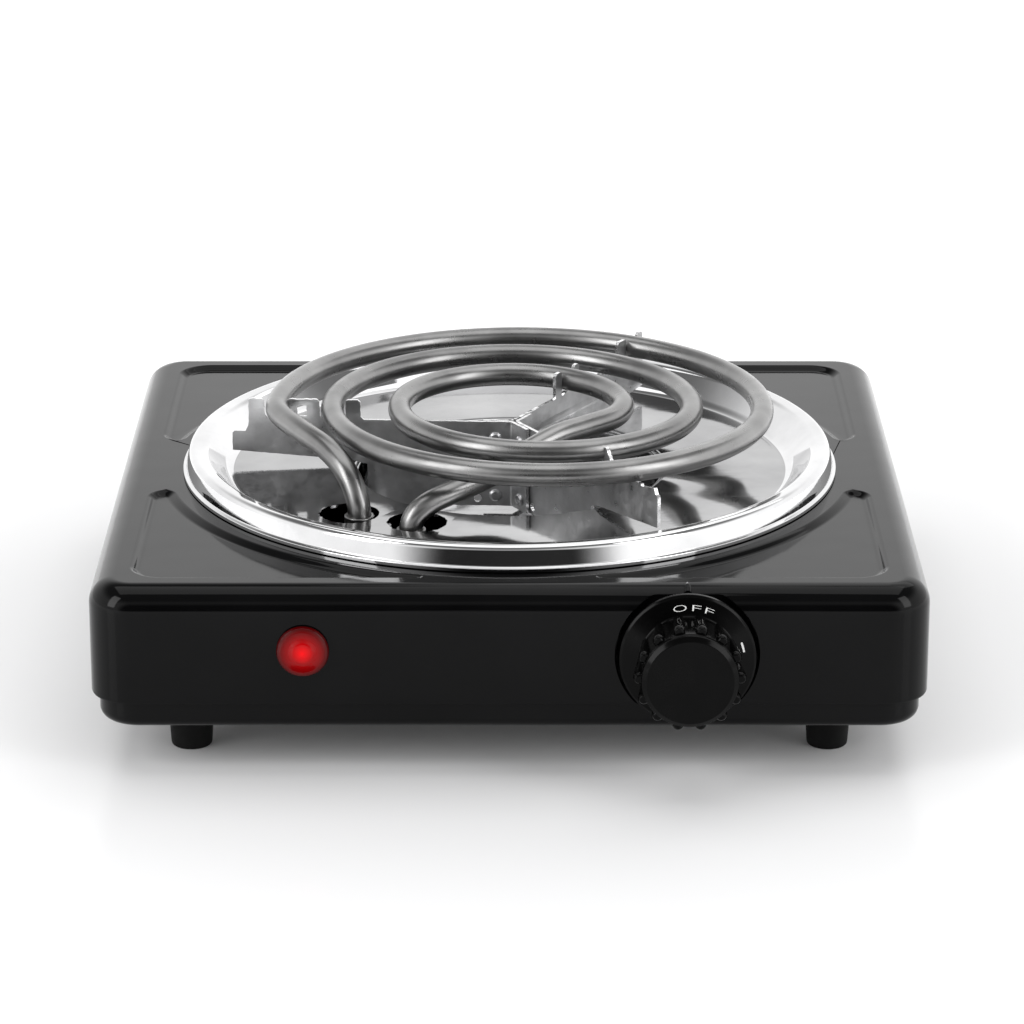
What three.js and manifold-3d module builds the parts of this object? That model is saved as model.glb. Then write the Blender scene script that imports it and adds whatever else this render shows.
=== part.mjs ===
// Electric hot plate with one exposed spiral heating element.
// Millimetres, +Z up, front towards -Y. The origin is on the ground under the middle of the whole object.
import * as THREE from 'three';
import { mergeVertices } from 'three/addons/utils/BufferGeometryUtils.js';
import Module from 'manifold-3d';

const wasm = await Module();
wasm.setup();

// ---------------------------------------------------------------- driving dimensions
const GAP = 0.3; // clearance between pieces that touch
const WALL = 1.2; // pressed steel, enamel included

const HOUSING_WIDTH = 225;
const HOUSING_DEPTH = 215;
const HOUSING_CORNER = 12;
const HOUSING_EDGE = 7; // rounding between the walls and the top
const SEAM_Z = 21; // lower edge of the upper shell
const TOP_Z = 53.5;

const TRAY_INSET = 2;
const TRAY_Z = 13.5;
const TRAY_TOP_Z = 27;
const FOOT_INSET = 25.5; // from the side and front walls to a foot's axis
const FOOT_RADIUS_TOP = 6.3;
const FOOT_RADIUS_BASE = 5.5;

const PANEL_RECESS = 1.6;
const PANEL_SLOPE = 2.5;
const PANEL_MARGIN = 11; // flat border outside the recessed corner panels
const PANEL_START_FRONT = 24; // the raised band at each side ends here, where the front panels start
const PANEL_START_BACK = 21.5; // and here, where the back ones do
const PANEL_RING_RADIUS = 98.5;

const BOWL_RADIUS = 93.9;
const BOWL_CREST_Z = 60.5;
const SHELF_Z = 53;
const SHELF_RADIUS = 79.5;
const WELL_RADIUS = 45.4;
const WELL_Z = 39.3;
const BOWL_SHEET = 0.8;
const PLATE_HOLE_RADIUS = 84.2;

const TUBE_RADIUS = 3.3;
const COIL_Z = 70.5;
const TERMINAL_OUTER = [-41.8, -45.3];
const TERMINAL_INNER = [-27.2, -52.9];
const TUBE_HOLE_OUTER = [-44.6, -42.8];
const TUBE_HOLE_INNER = [-25.6, -50.2];
const TUBE_HOLE_RADIUS = 8.4;
const TUBE_END_Z = 43;

const STRIP = 1.0; // thickness of the support arms
const HUB_X = 1.2;
const ARM_TOP_Z = 66.3;
const ARM_SEAT_Z = COIL_Z - TUBE_RADIUS - GAP;
const ARM_WELL_Z = 40.9; // lower edge inside the well
const ARM_WELL_RADIUS = 41.5;
const ARM_TAB_Z = 72.2;
const FLANGE_LENGTH = 8.8;
const RIVET_HEIGHTS = [44.1, 61.4];
const RIVET_DISTANCE = 5.2; // from the hub's corner
const HUB_HOLE_DISTANCE = 10.4;

const HUB_BOLT = [13.4, 8.5];
const SMALL_HOLE = 1.9;
const SMALL_SHANK = 1.5;

const KNOB_X = 47.3;
const KNOB_Z = 35.4;
const KNOB_FACE_Y = -128.5;
const KNOB_SKIRT_RADIUS = 18.2;
const KNOB_GRIP_RADIUS = 14.9;
const KNOB_CORE_RADIUS = 13;
const KNOB_LOBES = 14;
const POCKET_RADIUS = 19;
const POCKET_DEPTH = 2.4;
const SHAFT_RADIUS = 3;
const THERMOSTAT_SCREW_OFFSET = 12;

const LAMP_X = -54.9;
const LAMP_Z = 36.7;
const LAMP_RADIUS = 7;

const GLAND_X = 60;
const GLAND_Z = 38;
const GLAND_BORE = 3.6;
const GLAND_END_Y = 111.3;

const FRONT_Y = -HOUSING_DEPTH / 2;
const REAR_Y = HOUSING_DEPTH / 2;
const POCKET_Y = FRONT_Y + POCKET_DEPTH;
const HOUSING_Y = -(KNOB_FACE_Y + GLAND_END_Y) / 2; // brings the whole object's middle to the origin
const RIGHT_ANGLE = Math.PI / 2;

// ---------------------------------------------------------------- materials
const finish = (color, roughness, metalness, more = {}) =>
  new THREE.MeshStandardMaterial({ color, roughness, metalness, ...more });

const FINISHES = {
  enamel: finish(0x0b0b0c, 0.12, 0.0),
  chrome: finish(0xd9dadc, 0.08, 1.0),
  element: finish(0x6f6d6a, 0.36, 0.9),
  strip: finish(0x8b8c8d, 0.42, 0.9),
  zinc: finish(0xb4b6b8, 0.4, 0.9),
  knob: finish(0x0d0d0e, 0.22, 0.0),
  rubber: finish(0x151515, 0.8, 0.0),
  lens: finish(0xd01212, 0.15, 0.0, { transparent: true, opacity: 0.75 }),
  glass: finish(0xffb070, 0.1, 0.0, { transparent: true, opacity: 0.6 }),
  nylon: finish(0xe6e2d8, 0.5, 0.0),
  ceramic: finish(0xf0ece2, 0.6, 0.0),
  brass: finish(0xb8934a, 0.35, 1.0),
  gland: finish(0x1a1a1a, 0.5, 0.0),
  wireBrown: finish(0x5a3218, 0.55, 0.0),
  wireBlue: finish(0x1d4f9e, 0.55, 0.0),
  wireEarth: finish(0x6d8f1e, 0.55, 0.0),
};

// ---------------------------------------------------------------- solids
function signedVolume(geometry) {
  const p = geometry.attributes.position;
  const index = geometry.index;
  const corner = (i) => new THREE.Vector3().fromBufferAttribute(p, index ? index.getX(i) : i);
  const count = index ? index.count : p.count;
  let volume = 0;
  for (let i = 0; i < count; i += 3) {
    volume += corner(i).dot(corner(i + 1).cross(corner(i + 2))) / 6;
  }
  return volume;
}

// A closed geometry becomes a manifold solid, turned outward if it was inside out.
function solid(geometry) {
  const bare = geometry.clone();
  bare.deleteAttribute('normal');
  bare.deleteAttribute('uv');
  const merged = mergeVertices(bare, 1e-4);
  const index = [];
  const source = merged.index.array;
  const flip = signedVolume(merged) < 0;
  for (let i = 0; i < source.length; i += 3) {
    const [a, b, c] = [source[i], source[i + 1], source[i + 2]];
    if (a === b || b === c || a === c) continue;
    index.push(a, flip ? c : b, flip ? b : c);
  }
  const mesh = new wasm.Mesh({
    numProp: 3,
    vertProperties: Float32Array.from(merged.attributes.position.array),
    triVerts: Uint32Array.from(index),
  });
  return new wasm.Manifold(mesh);
}

function toGeometry(manifold) {
  const mesh = manifold.getMesh();
  const geometry = new THREE.BufferGeometry();
  geometry.setAttribute('position', new THREE.BufferAttribute(Float32Array.from(mesh.vertProperties), 3));
  geometry.setIndex(Array.from(mesh.triVerts));
  geometry.computeVertexNormals();
  return geometry;
}

const join = (...solids) => solids.reduce((all, next) => all.add(next));
const cut = (body, ...tools) => tools.reduce((rest, tool) => rest.subtract(tool), body);

function block(x, y, z) {
  const geometry = new THREE.BoxGeometry(x[1] - x[0], y[1] - y[0], z[1] - z[0]);
  geometry.translate((x[0] + x[1]) / 2, (y[0] + y[1]) / 2, (z[0] + z[1]) / 2);
  return solid(geometry);
}

// Solid of revolution about a vertical axis; outline holds [radius, height] pairs.
function turnedZ(outline, [x, y] = [0, 0], sides = 24) {
  const points = outline.map(([r, h]) => new THREE.Vector2(r, h));
  if (outline[0][0] > 0) points.push(points[0].clone());
  const geometry = new THREE.LatheGeometry(points, sides);
  geometry.rotateX(RIGHT_ANGLE);
  geometry.translate(x, y, 0);
  return solid(geometry);
}

// The same about an axis that runs front to back; outline holds [radius, y] pairs.
function turnedY(outline, [x, z] = [0, 0], sides = 24) {
  const points = outline.map(([r, y]) => new THREE.Vector2(r, y));
  if (outline[0][0] > 0) points.push(points[0].clone());
  const geometry = new THREE.LatheGeometry(points, sides);
  geometry.translate(x, 0, z);
  return solid(geometry);
}

const rodZ = (radius, z, at, sides = 20) =>
  turnedZ([[0, z[0]], [radius, z[0]], [radius, z[1]], [0, z[1]]], at, sides);
const rodY = (radius, y, at, sides = 20) =>
  turnedY([[0, y[0]], [radius, y[0]], [radius, y[1]], [0, y[1]]], at, sides);
const ringZ = (inner, outer, z, at, sides = 20) =>
  turnedZ([[inner, z[0]], [outer, z[0]], [outer, z[1]], [inner, z[1]]], at, sides);
const ringY = (inner, outer, y, at, sides = 20) =>
  turnedY([[inner, y[0]], [outer, y[0]], [outer, y[1]], [inner, y[1]]], at, sides);

function flatShape(points) {
  return new THREE.Shape(points.map(([x, y]) => new THREE.Vector2(x, y)));
}

// Outline in X and Y, raised from z[0] to z[1].
function plateZ(points, z) {
  const geometry = new THREE.ExtrudeGeometry(flatShape(points), { depth: z[1] - z[0], bevelEnabled: false });
  geometry.translate(0, 0, z[0]);
  return solid(geometry);
}

// Outline in X and Z, drawn out from y[0] to y[1].
function profileY(points, y) {
  const geometry = new THREE.ExtrudeGeometry(flatShape(points), { depth: y[1] - y[0], bevelEnabled: false });
  geometry.rotateX(RIGHT_ANGLE);
  geometry.translate(0, y[1], 0);
  return solid(geometry);
}

// Outline in Y and Z, drawn out from x[0] to x[1].
function profileX(points, x) {
  const geometry = new THREE.ExtrudeGeometry(flatShape(points), { depth: x[1] - x[0], bevelEnabled: false });
  geometry.rotateX(RIGHT_ANGLE);
  geometry.rotateZ(RIGHT_ANGLE);
  geometry.translate(x[0], 0, 0);
  return solid(geometry);
}

// Walls between outlines of equal point count, one above another, closed at both ends.
function loft(levels) {
  const count = levels[0].points.length;
  const position = [];
  const index = [];
  for (const { points, z } of levels) {
    for (const [x, y] of points) position.push(x, y, z);
  }
  for (let level = 0; level + 1 < levels.length; level += 1) {
    for (let i = 0; i < count; i += 1) {
      const a = level * count + i;
      const b = level * count + ((i + 1) % count);
      index.push(a, b, b + count, a, b + count, a + count);
    }
  }
  const cap = (level, turned) => {
    const outline = levels[level].points.map(([x, y]) => new THREE.Vector2(x, y));
    for (const [a, b, c] of THREE.ShapeUtils.triangulateShape(outline, [])) {
      const base = level * count;
      if (turned) index.push(base + a, base + c, base + b);
      else index.push(base + a, base + b, base + c);
    }
  };
  cap(0, true);
  cap(levels.length - 1, false);
  const geometry = new THREE.BufferGeometry();
  geometry.setAttribute('position', new THREE.Float32BufferAttribute(position, 3));
  geometry.setIndex(index);
  return solid(geometry);
}

function arcPoints(centre, radius, from, to, steps) {
  const points = [];
  for (let i = 0; i <= steps; i += 1) {
    const angle = from + ((to - from) * i) / steps;
    points.push([centre[0] + radius * Math.cos(angle), centre[1] + radius * Math.sin(angle)]);
  }
  return points;
}

function roundedRectangle(width, depth, radius, steps = 4) {
  const points = [];
  const corners = [[1, 1, 0], [-1, 1, 1], [-1, -1, 2], [1, -1, 3]];
  for (const [sx, sy, quarter] of corners) {
    const centre = [sx * (width / 2 - radius), sy * (depth / 2 - radius)];
    const start = quarter * RIGHT_ANGLE;
    points.push(...arcPoints(centre, radius, start, start + RIGHT_ANGLE, steps));
  }
  return points;
}

// A box with upright walls and rounded upper edges.
function softBox(width, depth, corner, edge, zLow, zHigh) {
  const levels = [{ points: roundedRectangle(width, depth, corner), z: zLow }];
  const steps = 4;
  for (let i = 0; i <= steps; i += 1) {
    const angle = (RIGHT_ANGLE * i) / steps;
    const inset = edge * (1 - Math.cos(angle));
    const points = roundedRectangle(width - 2 * inset, depth - 2 * inset, corner - inset);
    levels.push({ points, z: zHigh - edge + edge * Math.sin(angle) });
  }
  return loft(levels);
}

function tube(points, radius, sides, steps) {
  const curve = new THREE.CatmullRomCurve3(points.map((p) => new THREE.Vector3(...p)), false, 'centripetal');
  return tubeAlong(curve, radius, sides, steps);
}

function tubeAlong(curve, radius, sides, steps) {
  const section = flatShape(arcPoints([0, 0], radius, 0, 2 * Math.PI, sides).slice(0, sides));
  const geometry = new THREE.ExtrudeGeometry(section, { steps, extrudePath: curve, bevelEnabled: false });
  return solid(geometry);
}

// ---------------------------------------------------------------- upper shell
// Outline of one recessed corner panel, in the quadrant where X and Y are positive.
function panelOutline(inset, start) {
  const right = HOUSING_WIDTH / 2 - PANEL_MARGIN - inset;
  const back = HOUSING_DEPTH / 2 - PANEL_MARGIN - inset;
  const ring = PANEL_RING_RADIUS + inset;
  const side = start + inset;
  const corner = 9 - inset;
  const outline = [[right, side]];
  outline.push(...arcPoints([right - corner, back - corner], corner, 0, RIGHT_ANGLE, 4));
  outline.push(...arcPoints([0, 0], ring, Math.asin(back / ring), Math.asin(side / ring), 14));
  return outline;
}

function mirrored(points, sx, sy) {
  const turned = points.map(([x, y]) => [sx * x, sy * y]);
  return sx * sy < 0 ? turned.reverse() : turned;
}

// The tool that presses one corner panel down; sheet lowers and widens it for the shell's inner face.
function panelTool(sx, sy, sheet) {
  const grow = sheet * 0.4;
  const start = sy > 0 ? PANEL_START_BACK : PANEL_START_FRONT;
  const outline = (inset) => mirrored(panelOutline(inset, start), sx, sy);
  return loft([
    { points: outline(PANEL_SLOPE - grow), z: TOP_Z - PANEL_RECESS - sheet },
    { points: outline(-grow), z: TOP_Z - sheet },
    { points: outline(-grow), z: TOP_Z + 3 },
  ]);
}

function topHousing() {
  const overlap = 1;
  let body = softBox(HOUSING_WIDTH, HOUSING_DEPTH, HOUSING_CORNER, HOUSING_EDGE, SEAM_Z, TOP_Z);
  let hollow = softBox(
    HOUSING_WIDTH - 2 * WALL, HOUSING_DEPTH - 2 * WALL,
    HOUSING_CORNER - WALL, HOUSING_EDGE - WALL, SEAM_Z - overlap, TOP_Z - WALL,
  );
  for (const sx of [-1, 1]) {
    for (const sy of [-1, 1]) {
      body = body.subtract(panelTool(sx, sy, 0));
      hollow = hollow.subtract(panelTool(sx, sy, WALL));
    }
  }
  const knob = [KNOB_X, KNOB_Z];
  body = body.subtract(rodY(POCKET_RADIUS, [FRONT_Y - overlap, POCKET_Y], knob, 32));
  const pocketBack = [FRONT_Y - overlap, POCKET_Y + WALL];
  hollow = hollow.subtract(rodY(POCKET_RADIUS + WALL, pocketBack, knob, 32));
  const pointer = new THREE.SphereGeometry(1, 8, 6);
  pointer.scale(0.9, 3, 0.9);
  pointer.rotateX(Math.PI / 6);
  pointer.translate(KNOB_X, FRONT_Y + 4, TOP_Z - 1.4);
  body = join(cut(body, hollow), solid(pointer).subtract(hollow));
  return cut(
    body,
    rodZ(PLATE_HOLE_RADIUS, [TOP_Z - 8, TOP_Z + 2], [0, 0], 48),
    rodY(SHAFT_RADIUS + 1, [FRONT_Y - 1, FRONT_Y + 8], knob),
    rodY(SMALL_HOLE, [FRONT_Y - 1, FRONT_Y + 8], [KNOB_X - THERMOSTAT_SCREW_OFFSET, KNOB_Z], 12),
    rodY(SMALL_HOLE, [FRONT_Y - 1, FRONT_Y + 8], [KNOB_X + THERMOSTAT_SCREW_OFFSET, KNOB_Z], 12),
    rodY(5.3, [FRONT_Y - 1, FRONT_Y + 8], [LAMP_X, LAMP_Z]),
    rodY(5.8, [REAR_Y - 8, REAR_Y + 1], [GLAND_X, GLAND_Z]),
  );
}

// ---------------------------------------------------------------- base tray, feet, fixings
const footPlaces = () => {
  const x = HOUSING_WIDTH / 2 - FOOT_INSET;
  const y = HOUSING_DEPTH / 2 - FOOT_INSET;
  return [[-x, -y], [x, -y], [x, y], [-x, y]];
};

const EARTH_SCREW = [30, 45];

function baseTray() {
  const width = HOUSING_WIDTH - 2 * TRAY_INSET;
  const depth = HOUSING_DEPTH - 2 * TRAY_INSET;
  const corner = HOUSING_CORNER - 1;
  const pan = (inset, zLow, zHigh) => {
    const edge = 3;
    const steps = 3;
    const levels = [];
    for (let i = 0; i <= steps; i += 1) {
      const angle = (RIGHT_ANGLE * i) / steps;
      const shrink = inset + edge * (1 - Math.sin(angle));
      const points = roundedRectangle(width - 2 * shrink, depth - 2 * shrink, corner - shrink, 4);
      levels.push({ points, z: zLow + edge * (1 - Math.cos(angle)) });
    }
    const points = roundedRectangle(width - 2 * inset, depth - 2 * inset, corner - inset, 4);
    levels.push({ points, z: zHigh });
    return loft(levels);
  };
  let tray = pan(0, TRAY_Z, TRAY_TOP_Z).subtract(pan(WALL, TRAY_Z + WALL, TRAY_TOP_Z + 2));
  const slots = 9;
  const pitch = 9;
  for (const side of [-1, 1]) {
    for (let i = 0; i < slots; i += 1) {
      const y = (i - (slots - 1) / 2) * pitch;
      const x = side * 44;
      tray = tray.subtract(block([x - 17, x + 17], [y - 1.6, y + 1.6], [TRAY_Z - 1, TRAY_Z + 2]));
    }
  }
  for (const at of [...footPlaces(), EARTH_SCREW]) {
    tray = tray.subtract(rodZ(SMALL_HOLE, [TRAY_Z - 1, TRAY_Z + 2], at, 12));
  }
  // The flange is notched behind the knob's pocket.
  const notch = POCKET_RADIUS + WALL + 1;
  const z = [SEAM_Z - GAP, TRAY_TOP_Z + 1];
  return tray.subtract(block([KNOB_X - notch, KNOB_X + notch], [FRONT_Y, FRONT_Y + 6], z));
}

const FOOT_RECESS = { radius: 3.7, top: 6 };

function foot([x, y]) {
  const top = TRAY_Z - GAP;
  return turnedZ([
    [FOOT_RECESS.radius, 0], [FOOT_RADIUS_BASE - 0.5, 0], [FOOT_RADIUS_BASE, 0.6],
    [FOOT_RADIUS_TOP, top - 1], [FOOT_RADIUS_TOP - 0.4, top],
    [SMALL_HOLE, top], [SMALL_HOLE, FOOT_RECESS.top], [FOOT_RECESS.radius, FOOT_RECESS.top],
  ], [x, y], 14);
}

function footScrew([x, y]) {
  const headTop = FOOT_RECESS.top - GAP;
  const outline = [[0, headTop - 2], [2.2, headTop - 2], [3, headTop - 1.2], [3, headTop], [0, headTop]];
  const head = turnedZ(outline, [x, y], 12);
  const shank = rodZ(SMALL_SHANK, [headTop - 0.5, TRAY_Z + 9], [x, y], 12);
  const cross = 0.4;
  const slot = [headTop - 3, headTop - 1.2];
  return cut(
    head.add(shank),
    block([x - 2, x + 2], [y - cross, y + cross], slot),
    block([x - cross, x + cross], [y - 2, y + 2], slot),
  );
}

// Stepped strap welded inside the side wall; the foot's screw pulls the tray against it.
function cornerBracket([x, y]) {
  const side = Math.sign(x);
  const wall = HOUSING_WIDTH / 2 - WALL - GAP;
  const thick = 1.2;
  const floor = TRAY_Z + WALL + GAP;
  const over = TRAY_TOP_Z + 1.5;
  const inner = Math.abs(x) - 8;
  const riser = inner + 14;
  const outline = [
    [wall, over], [wall, over + 14], [wall - thick, over + 14], [wall - thick, over + thick],
    [riser, over + thick], [riser, floor + thick], [inner, floor + thick], [inner, floor],
    [riser + thick, floor], [riser + thick, over],
  ];
  const points = outline.map(([px, pz]) => [side * px, pz]);
  const strap = profileY(points, [y - 7, y + 7]);
  return strap.subtract(rodZ(SMALL_HOLE, [floor - 1, floor + 3], [x, y], 12));
}

function earthScrew() {
  const seat = TRAY_Z + WALL + GAP;
  const head = rodZ(3.4, [seat, seat + 2.2], EARTH_SCREW, 6);
  return head.add(rodZ(SMALL_SHANK, [TRAY_Z - 2.5, seat + 3], EARTH_SCREW, 12));
}

// ---------------------------------------------------------------- drip bowl and what holds it
function dripBowl() {
  const upper = [
    [0, WELL_Z], [WELL_RADIUS - 4.4, WELL_Z], [WELL_RADIUS - 1.8, WELL_Z + 1.9],
    [WELL_RADIUS - 1.2, SHELF_Z - 1.2], [WELL_RADIUS, SHELF_Z],
    [SHELF_RADIUS, SHELF_Z], [82.5, 54.2], [86.8, 59.1], [89.6, BOWL_CREST_Z],
    [91.6, 59.7], [93.1, 55.2], [BOWL_RADIUS, 54.6], [BOWL_RADIUS, TOP_Z + GAP],
  ];
  const lower = [
    [93, TOP_Z + GAP], [92.3, 54.9], [91, 59], [89.6, 59.6],
    [87.4, 58.6], [83.1, 53.6], [SHELF_RADIUS + 0.4, SHELF_Z - BOWL_SHEET],
    [WELL_RADIUS - 0.5, SHELF_Z - BOWL_SHEET], [WELL_RADIUS - 2, SHELF_Z - 1.6],
    [WELL_RADIUS - 2.6, WELL_Z + 2.3], [WELL_RADIUS - 4.8, WELL_Z - BOWL_SHEET], [0, WELL_Z - BOWL_SHEET],
  ];
  return cut(
    turnedZ([...upper, ...lower], [0, 0], 48),
    rodZ(TUBE_HOLE_RADIUS, [SHELF_Z - 3, SHELF_Z + 3], TUBE_HOLE_OUTER, 16),
    rodZ(TUBE_HOLE_RADIUS, [SHELF_Z - 3, SHELF_Z + 3], TUBE_HOLE_INNER, 16),
    rodZ(SMALL_HOLE, [WELL_Z - 3, WELL_Z + 3], HUB_BOLT, 12),
  );
}

const STRAP_TOP_Z = WELL_Z - BOWL_SHEET - GAP;

// Cross strap under the well, hung from the shell's side bands.
function bowlStrap() {
  const thick = 1.2;
  const reach = 104;
  const riser = 86;
  const ear = TOP_Z - WALL - GAP;
  const outline = [
    [-reach, ear - thick], [-reach, ear], [-riser, ear], [-riser, STRAP_TOP_Z],
    [riser, STRAP_TOP_Z], [riser, ear], [reach, ear], [reach, ear - thick],
    [riser + thick, ear - thick], [riser + thick, STRAP_TOP_Z - thick],
    [-riser - thick, STRAP_TOP_Z - thick], [-riser - thick, ear - thick],
  ];
  const strap = profileY(outline, [-13, 13]);
  return strap.subtract(rodZ(SMALL_HOLE, [STRAP_TOP_Z - 3, STRAP_TOP_Z + 1], HUB_BOLT, 12));
}

const SHIELD_TOP_Z = STRAP_TOP_Z - 1.2 - GAP;
const SHIELD_SHEET = 0.8;

function heatShield() {
  const radius = 52;
  const under = SHIELD_TOP_Z - SHIELD_SHEET;
  const dish = turnedZ([
    [0, SHIELD_TOP_Z], [radius, SHIELD_TOP_Z], [radius + SHIELD_SHEET, under],
    [radius + SHIELD_SHEET, under - 5], [radius, under - 5], [radius - 0.4, under], [0, under],
  ], [0, 0], 32);
  return dish.subtract(rodZ(SMALL_HOLE, [under - 1, under + 3], HUB_BOLT, 12));
}

const HUB_FOOT = { z: [WELL_Z + GAP, WELL_Z + GAP + 1] };

function hubBolt() {
  const seat = HUB_FOOT.z[1] + GAP;
  const outline = [[0, seat], [3.2, seat], [3.2, seat + 1.2], [2, seat + 2.2], [0, seat + 2.2]];
  const head = turnedZ(outline, HUB_BOLT, 16);
  const slotted = head.subtract(block(
    [HUB_BOLT[0] - 3.5, HUB_BOLT[0] + 3.5], [HUB_BOLT[1] - 0.4, HUB_BOLT[1] + 0.4], [seat + 1.2, seat + 3],
  ));
  return slotted.add(rodZ(SMALL_SHANK, [SHIELD_TOP_Z - 5, seat + 0.4], HUB_BOLT, 12));
}

function hubNut() {
  const top = SHIELD_TOP_Z - SHIELD_SHEET - GAP;
  const body = rodZ(3.3, [top - 2.6, top], HUB_BOLT, 6);
  return body.subtract(rodZ(SMALL_HOLE, [top - 4, top + 1], HUB_BOLT, 12));
}

// ---------------------------------------------------------------- three-armed support
// Each arm is one folded strip. It runs in along its own line, at angle. Its inner end is folded
// round the hub and lies flat on the arm whose line is at next, to which it is riveted.
// Tabs stand up beside the element's turns.
const ARMS = {
  left: {
    angle: 177, next: -59.3, end: 81.3,
    tabs: [[72, 76.5], [61.8, 64], [56, 60.4], [44.2, 48.4]],
    tabTop: ARM_TAB_Z, shoulder: 62.4, shoulderStart: 77.5,
  },
  front: {
    angle: -59.3, next: 59.5, end: 76.6,
    tabs: [[49.7, 54]],
    tabTop: ARM_TAB_Z, shoulder: 65.9, shoulderStart: 75.5,
  },
  back: {
    angle: 59.5, next: 177, end: 77.2,
    tabs: [[74.2, 76.9], [62, 66.8], [35.4, 38.2], [24.6, 28.1]],
    tabTop: 73.9, shoulder: 66.3, shoulderStart: 77,
  },
};
// Where the element's turns cross each arm, as distances from the hub.
const ARM_SEATS = {
  left: [32.8, 52.1, 68],
  front: [45.9, 66.05],
  back: [31.7, 51.3, 70.5],
};

// The strip's edge outline along its run: distance from the hub, height.
function armOutline(arm, seats) {
  const tops = [...arm.tabs.map(([a, b]) => ({ a, b, z: arm.tabTop, point: 0.7 })),
    ...seats.map((r) => ({ a: r - 2, b: r + 2, z: ARM_SEAT_Z, point: 0 }))];
  tops.sort((p, q) => p.a - q.a);
  const outline = [[0, ARM_WELL_Z], [ARM_WELL_RADIUS, ARM_WELL_Z], [ARM_WELL_RADIUS + 0.8, 42]];
  outline.push([ARM_WELL_RADIUS + 0.8, 53], [WELL_RADIUS + 1.5, 54.1], [arm.end, 56.6]);
  outline.push([arm.end, arm.shoulder - 0.6], [arm.end - 0.6, arm.shoulder], [arm.shoulderStart, arm.shoulder]);
  if (arm.shoulder < ARM_TOP_Z) outline.push([arm.shoulderStart - 0.8, arm.shoulder + 1.6]);
  for (const { a, b, z, point } of tops.reverse()) {
    const base = a > 70 && arm.shoulder < ARM_TOP_Z ? arm.shoulder + 3 : ARM_TOP_Z;
    if (b < arm.shoulderStart - 0.9) outline.push([b, base]);
    outline.push([b, z - point * 0.6], [b - point, z], [a + point, z], [a, z - point], [a, ARM_TOP_Z]);
  }
  outline.push([0, ARM_TOP_Z]);
  return outline.filter(([r, z], i) => i === 0 || r !== outline[i - 1][0] || z !== outline[i - 1][1]);
}

// Stands an outline up along a line through the hub; offset moves it to the line's left, seen from above.
function standingStrip(outline, degrees, offset) {
  const geometry = new THREE.ExtrudeGeometry(flatShape(outline), { depth: STRIP, bevelEnabled: false });
  geometry.rotateX(RIGHT_ANGLE);
  geometry.translate(0, offset + STRIP / 2, 0);
  geometry.rotateZ(THREE.MathUtils.degToRad(degrees));
  geometry.translate(HUB_X, 0, 0);
  return solid(geometry);
}

const STRIP_OFFSET = (STRIP + GAP) / 2;

function hubPoint(degrees, distance, offset) {
  const angle = THREE.MathUtils.degToRad(degrees);
  return [
    HUB_X + distance * Math.cos(angle) - offset * Math.sin(angle),
    distance * Math.sin(angle) + offset * Math.cos(angle),
  ];
}

// A thin rod square to a strip, through its face.
function crossRod(degrees, distance, z, radius, offsets, sides = 8) {
  const geometry = new THREE.CylinderGeometry(radius, radius, offsets[1] - offsets[0], sides);
  geometry.translate(distance, (offsets[0] + offsets[1]) / 2, z);
  geometry.rotateZ(THREE.MathUtils.degToRad(degrees));
  geometry.translate(HUB_X, 0, 0);
  return solid(geometry);
}

function supportArm(name) {
  const arm = ARMS[name];
  const strip = standingStrip(armOutline(arm, ARM_SEATS[name]), arm.angle, STRIP_OFFSET);
  const flangeOutline = [
    [0, ARM_WELL_Z], [FLANGE_LENGTH - 0.6, ARM_WELL_Z], [FLANGE_LENGTH, ARM_WELL_Z + 0.6],
    [FLANGE_LENGTH, ARM_TOP_Z - 0.6], [FLANGE_LENGTH - 0.6, ARM_TOP_Z], [0, ARM_TOP_Z],
  ];
  const flange = standingStrip(flangeOutline, arm.next, -STRIP_OFFSET);
  let body = strip.add(flange);
  // Only the sector between this arm's line and the next belongs to this strip.
  const turn = (((arm.next - arm.angle) % 360) + 360) % 360;
  const sector = [[HUB_X, 0]];
  const steps = 6;
  for (let i = 0; i <= steps; i += 1) {
    sector.push(hubPoint(arm.angle + (turn * i) / steps, 140, 0));
  }
  body = body.intersect(plateZ(sector, [ARM_WELL_Z - 2, 80]));
  const rivetHoles = [];
  for (const z of RIVET_HEIGHTS) {
    rivetHoles.push(crossRod(arm.angle, RIVET_DISTANCE, z, 1.3, [-1, 3]));
    rivetHoles.push(crossRod(arm.next, RIVET_DISTANCE, z, 1.3, [-3, 1]));
    rivetHoles.push(crossRod(arm.angle, HUB_HOLE_DISTANCE, z - 1, 1.2, [-1, 3]));
  }
  return cut(body, ...rivetHoles);
}

// Rivet through an arm and the flange that lies on it.
function hubRivet(degrees, z) {
  const face = STRIP_OFFSET + STRIP / 2;
  return join(
    crossRod(degrees, RIVET_DISTANCE, z, 1, [-face - GAP - 0.5, face + GAP + 0.5]),
    crossRod(degrees, RIVET_DISTANCE, z, 1.9, [-face - GAP - 0.9, -face - GAP]),
    crossRod(degrees, RIVET_DISTANCE, z, 1.9, [face + GAP, face + GAP + 0.9]),
  );
}

const HUB_BRACKET = { from: 10.2, to: 20, width: 13, top: 52 };

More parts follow.
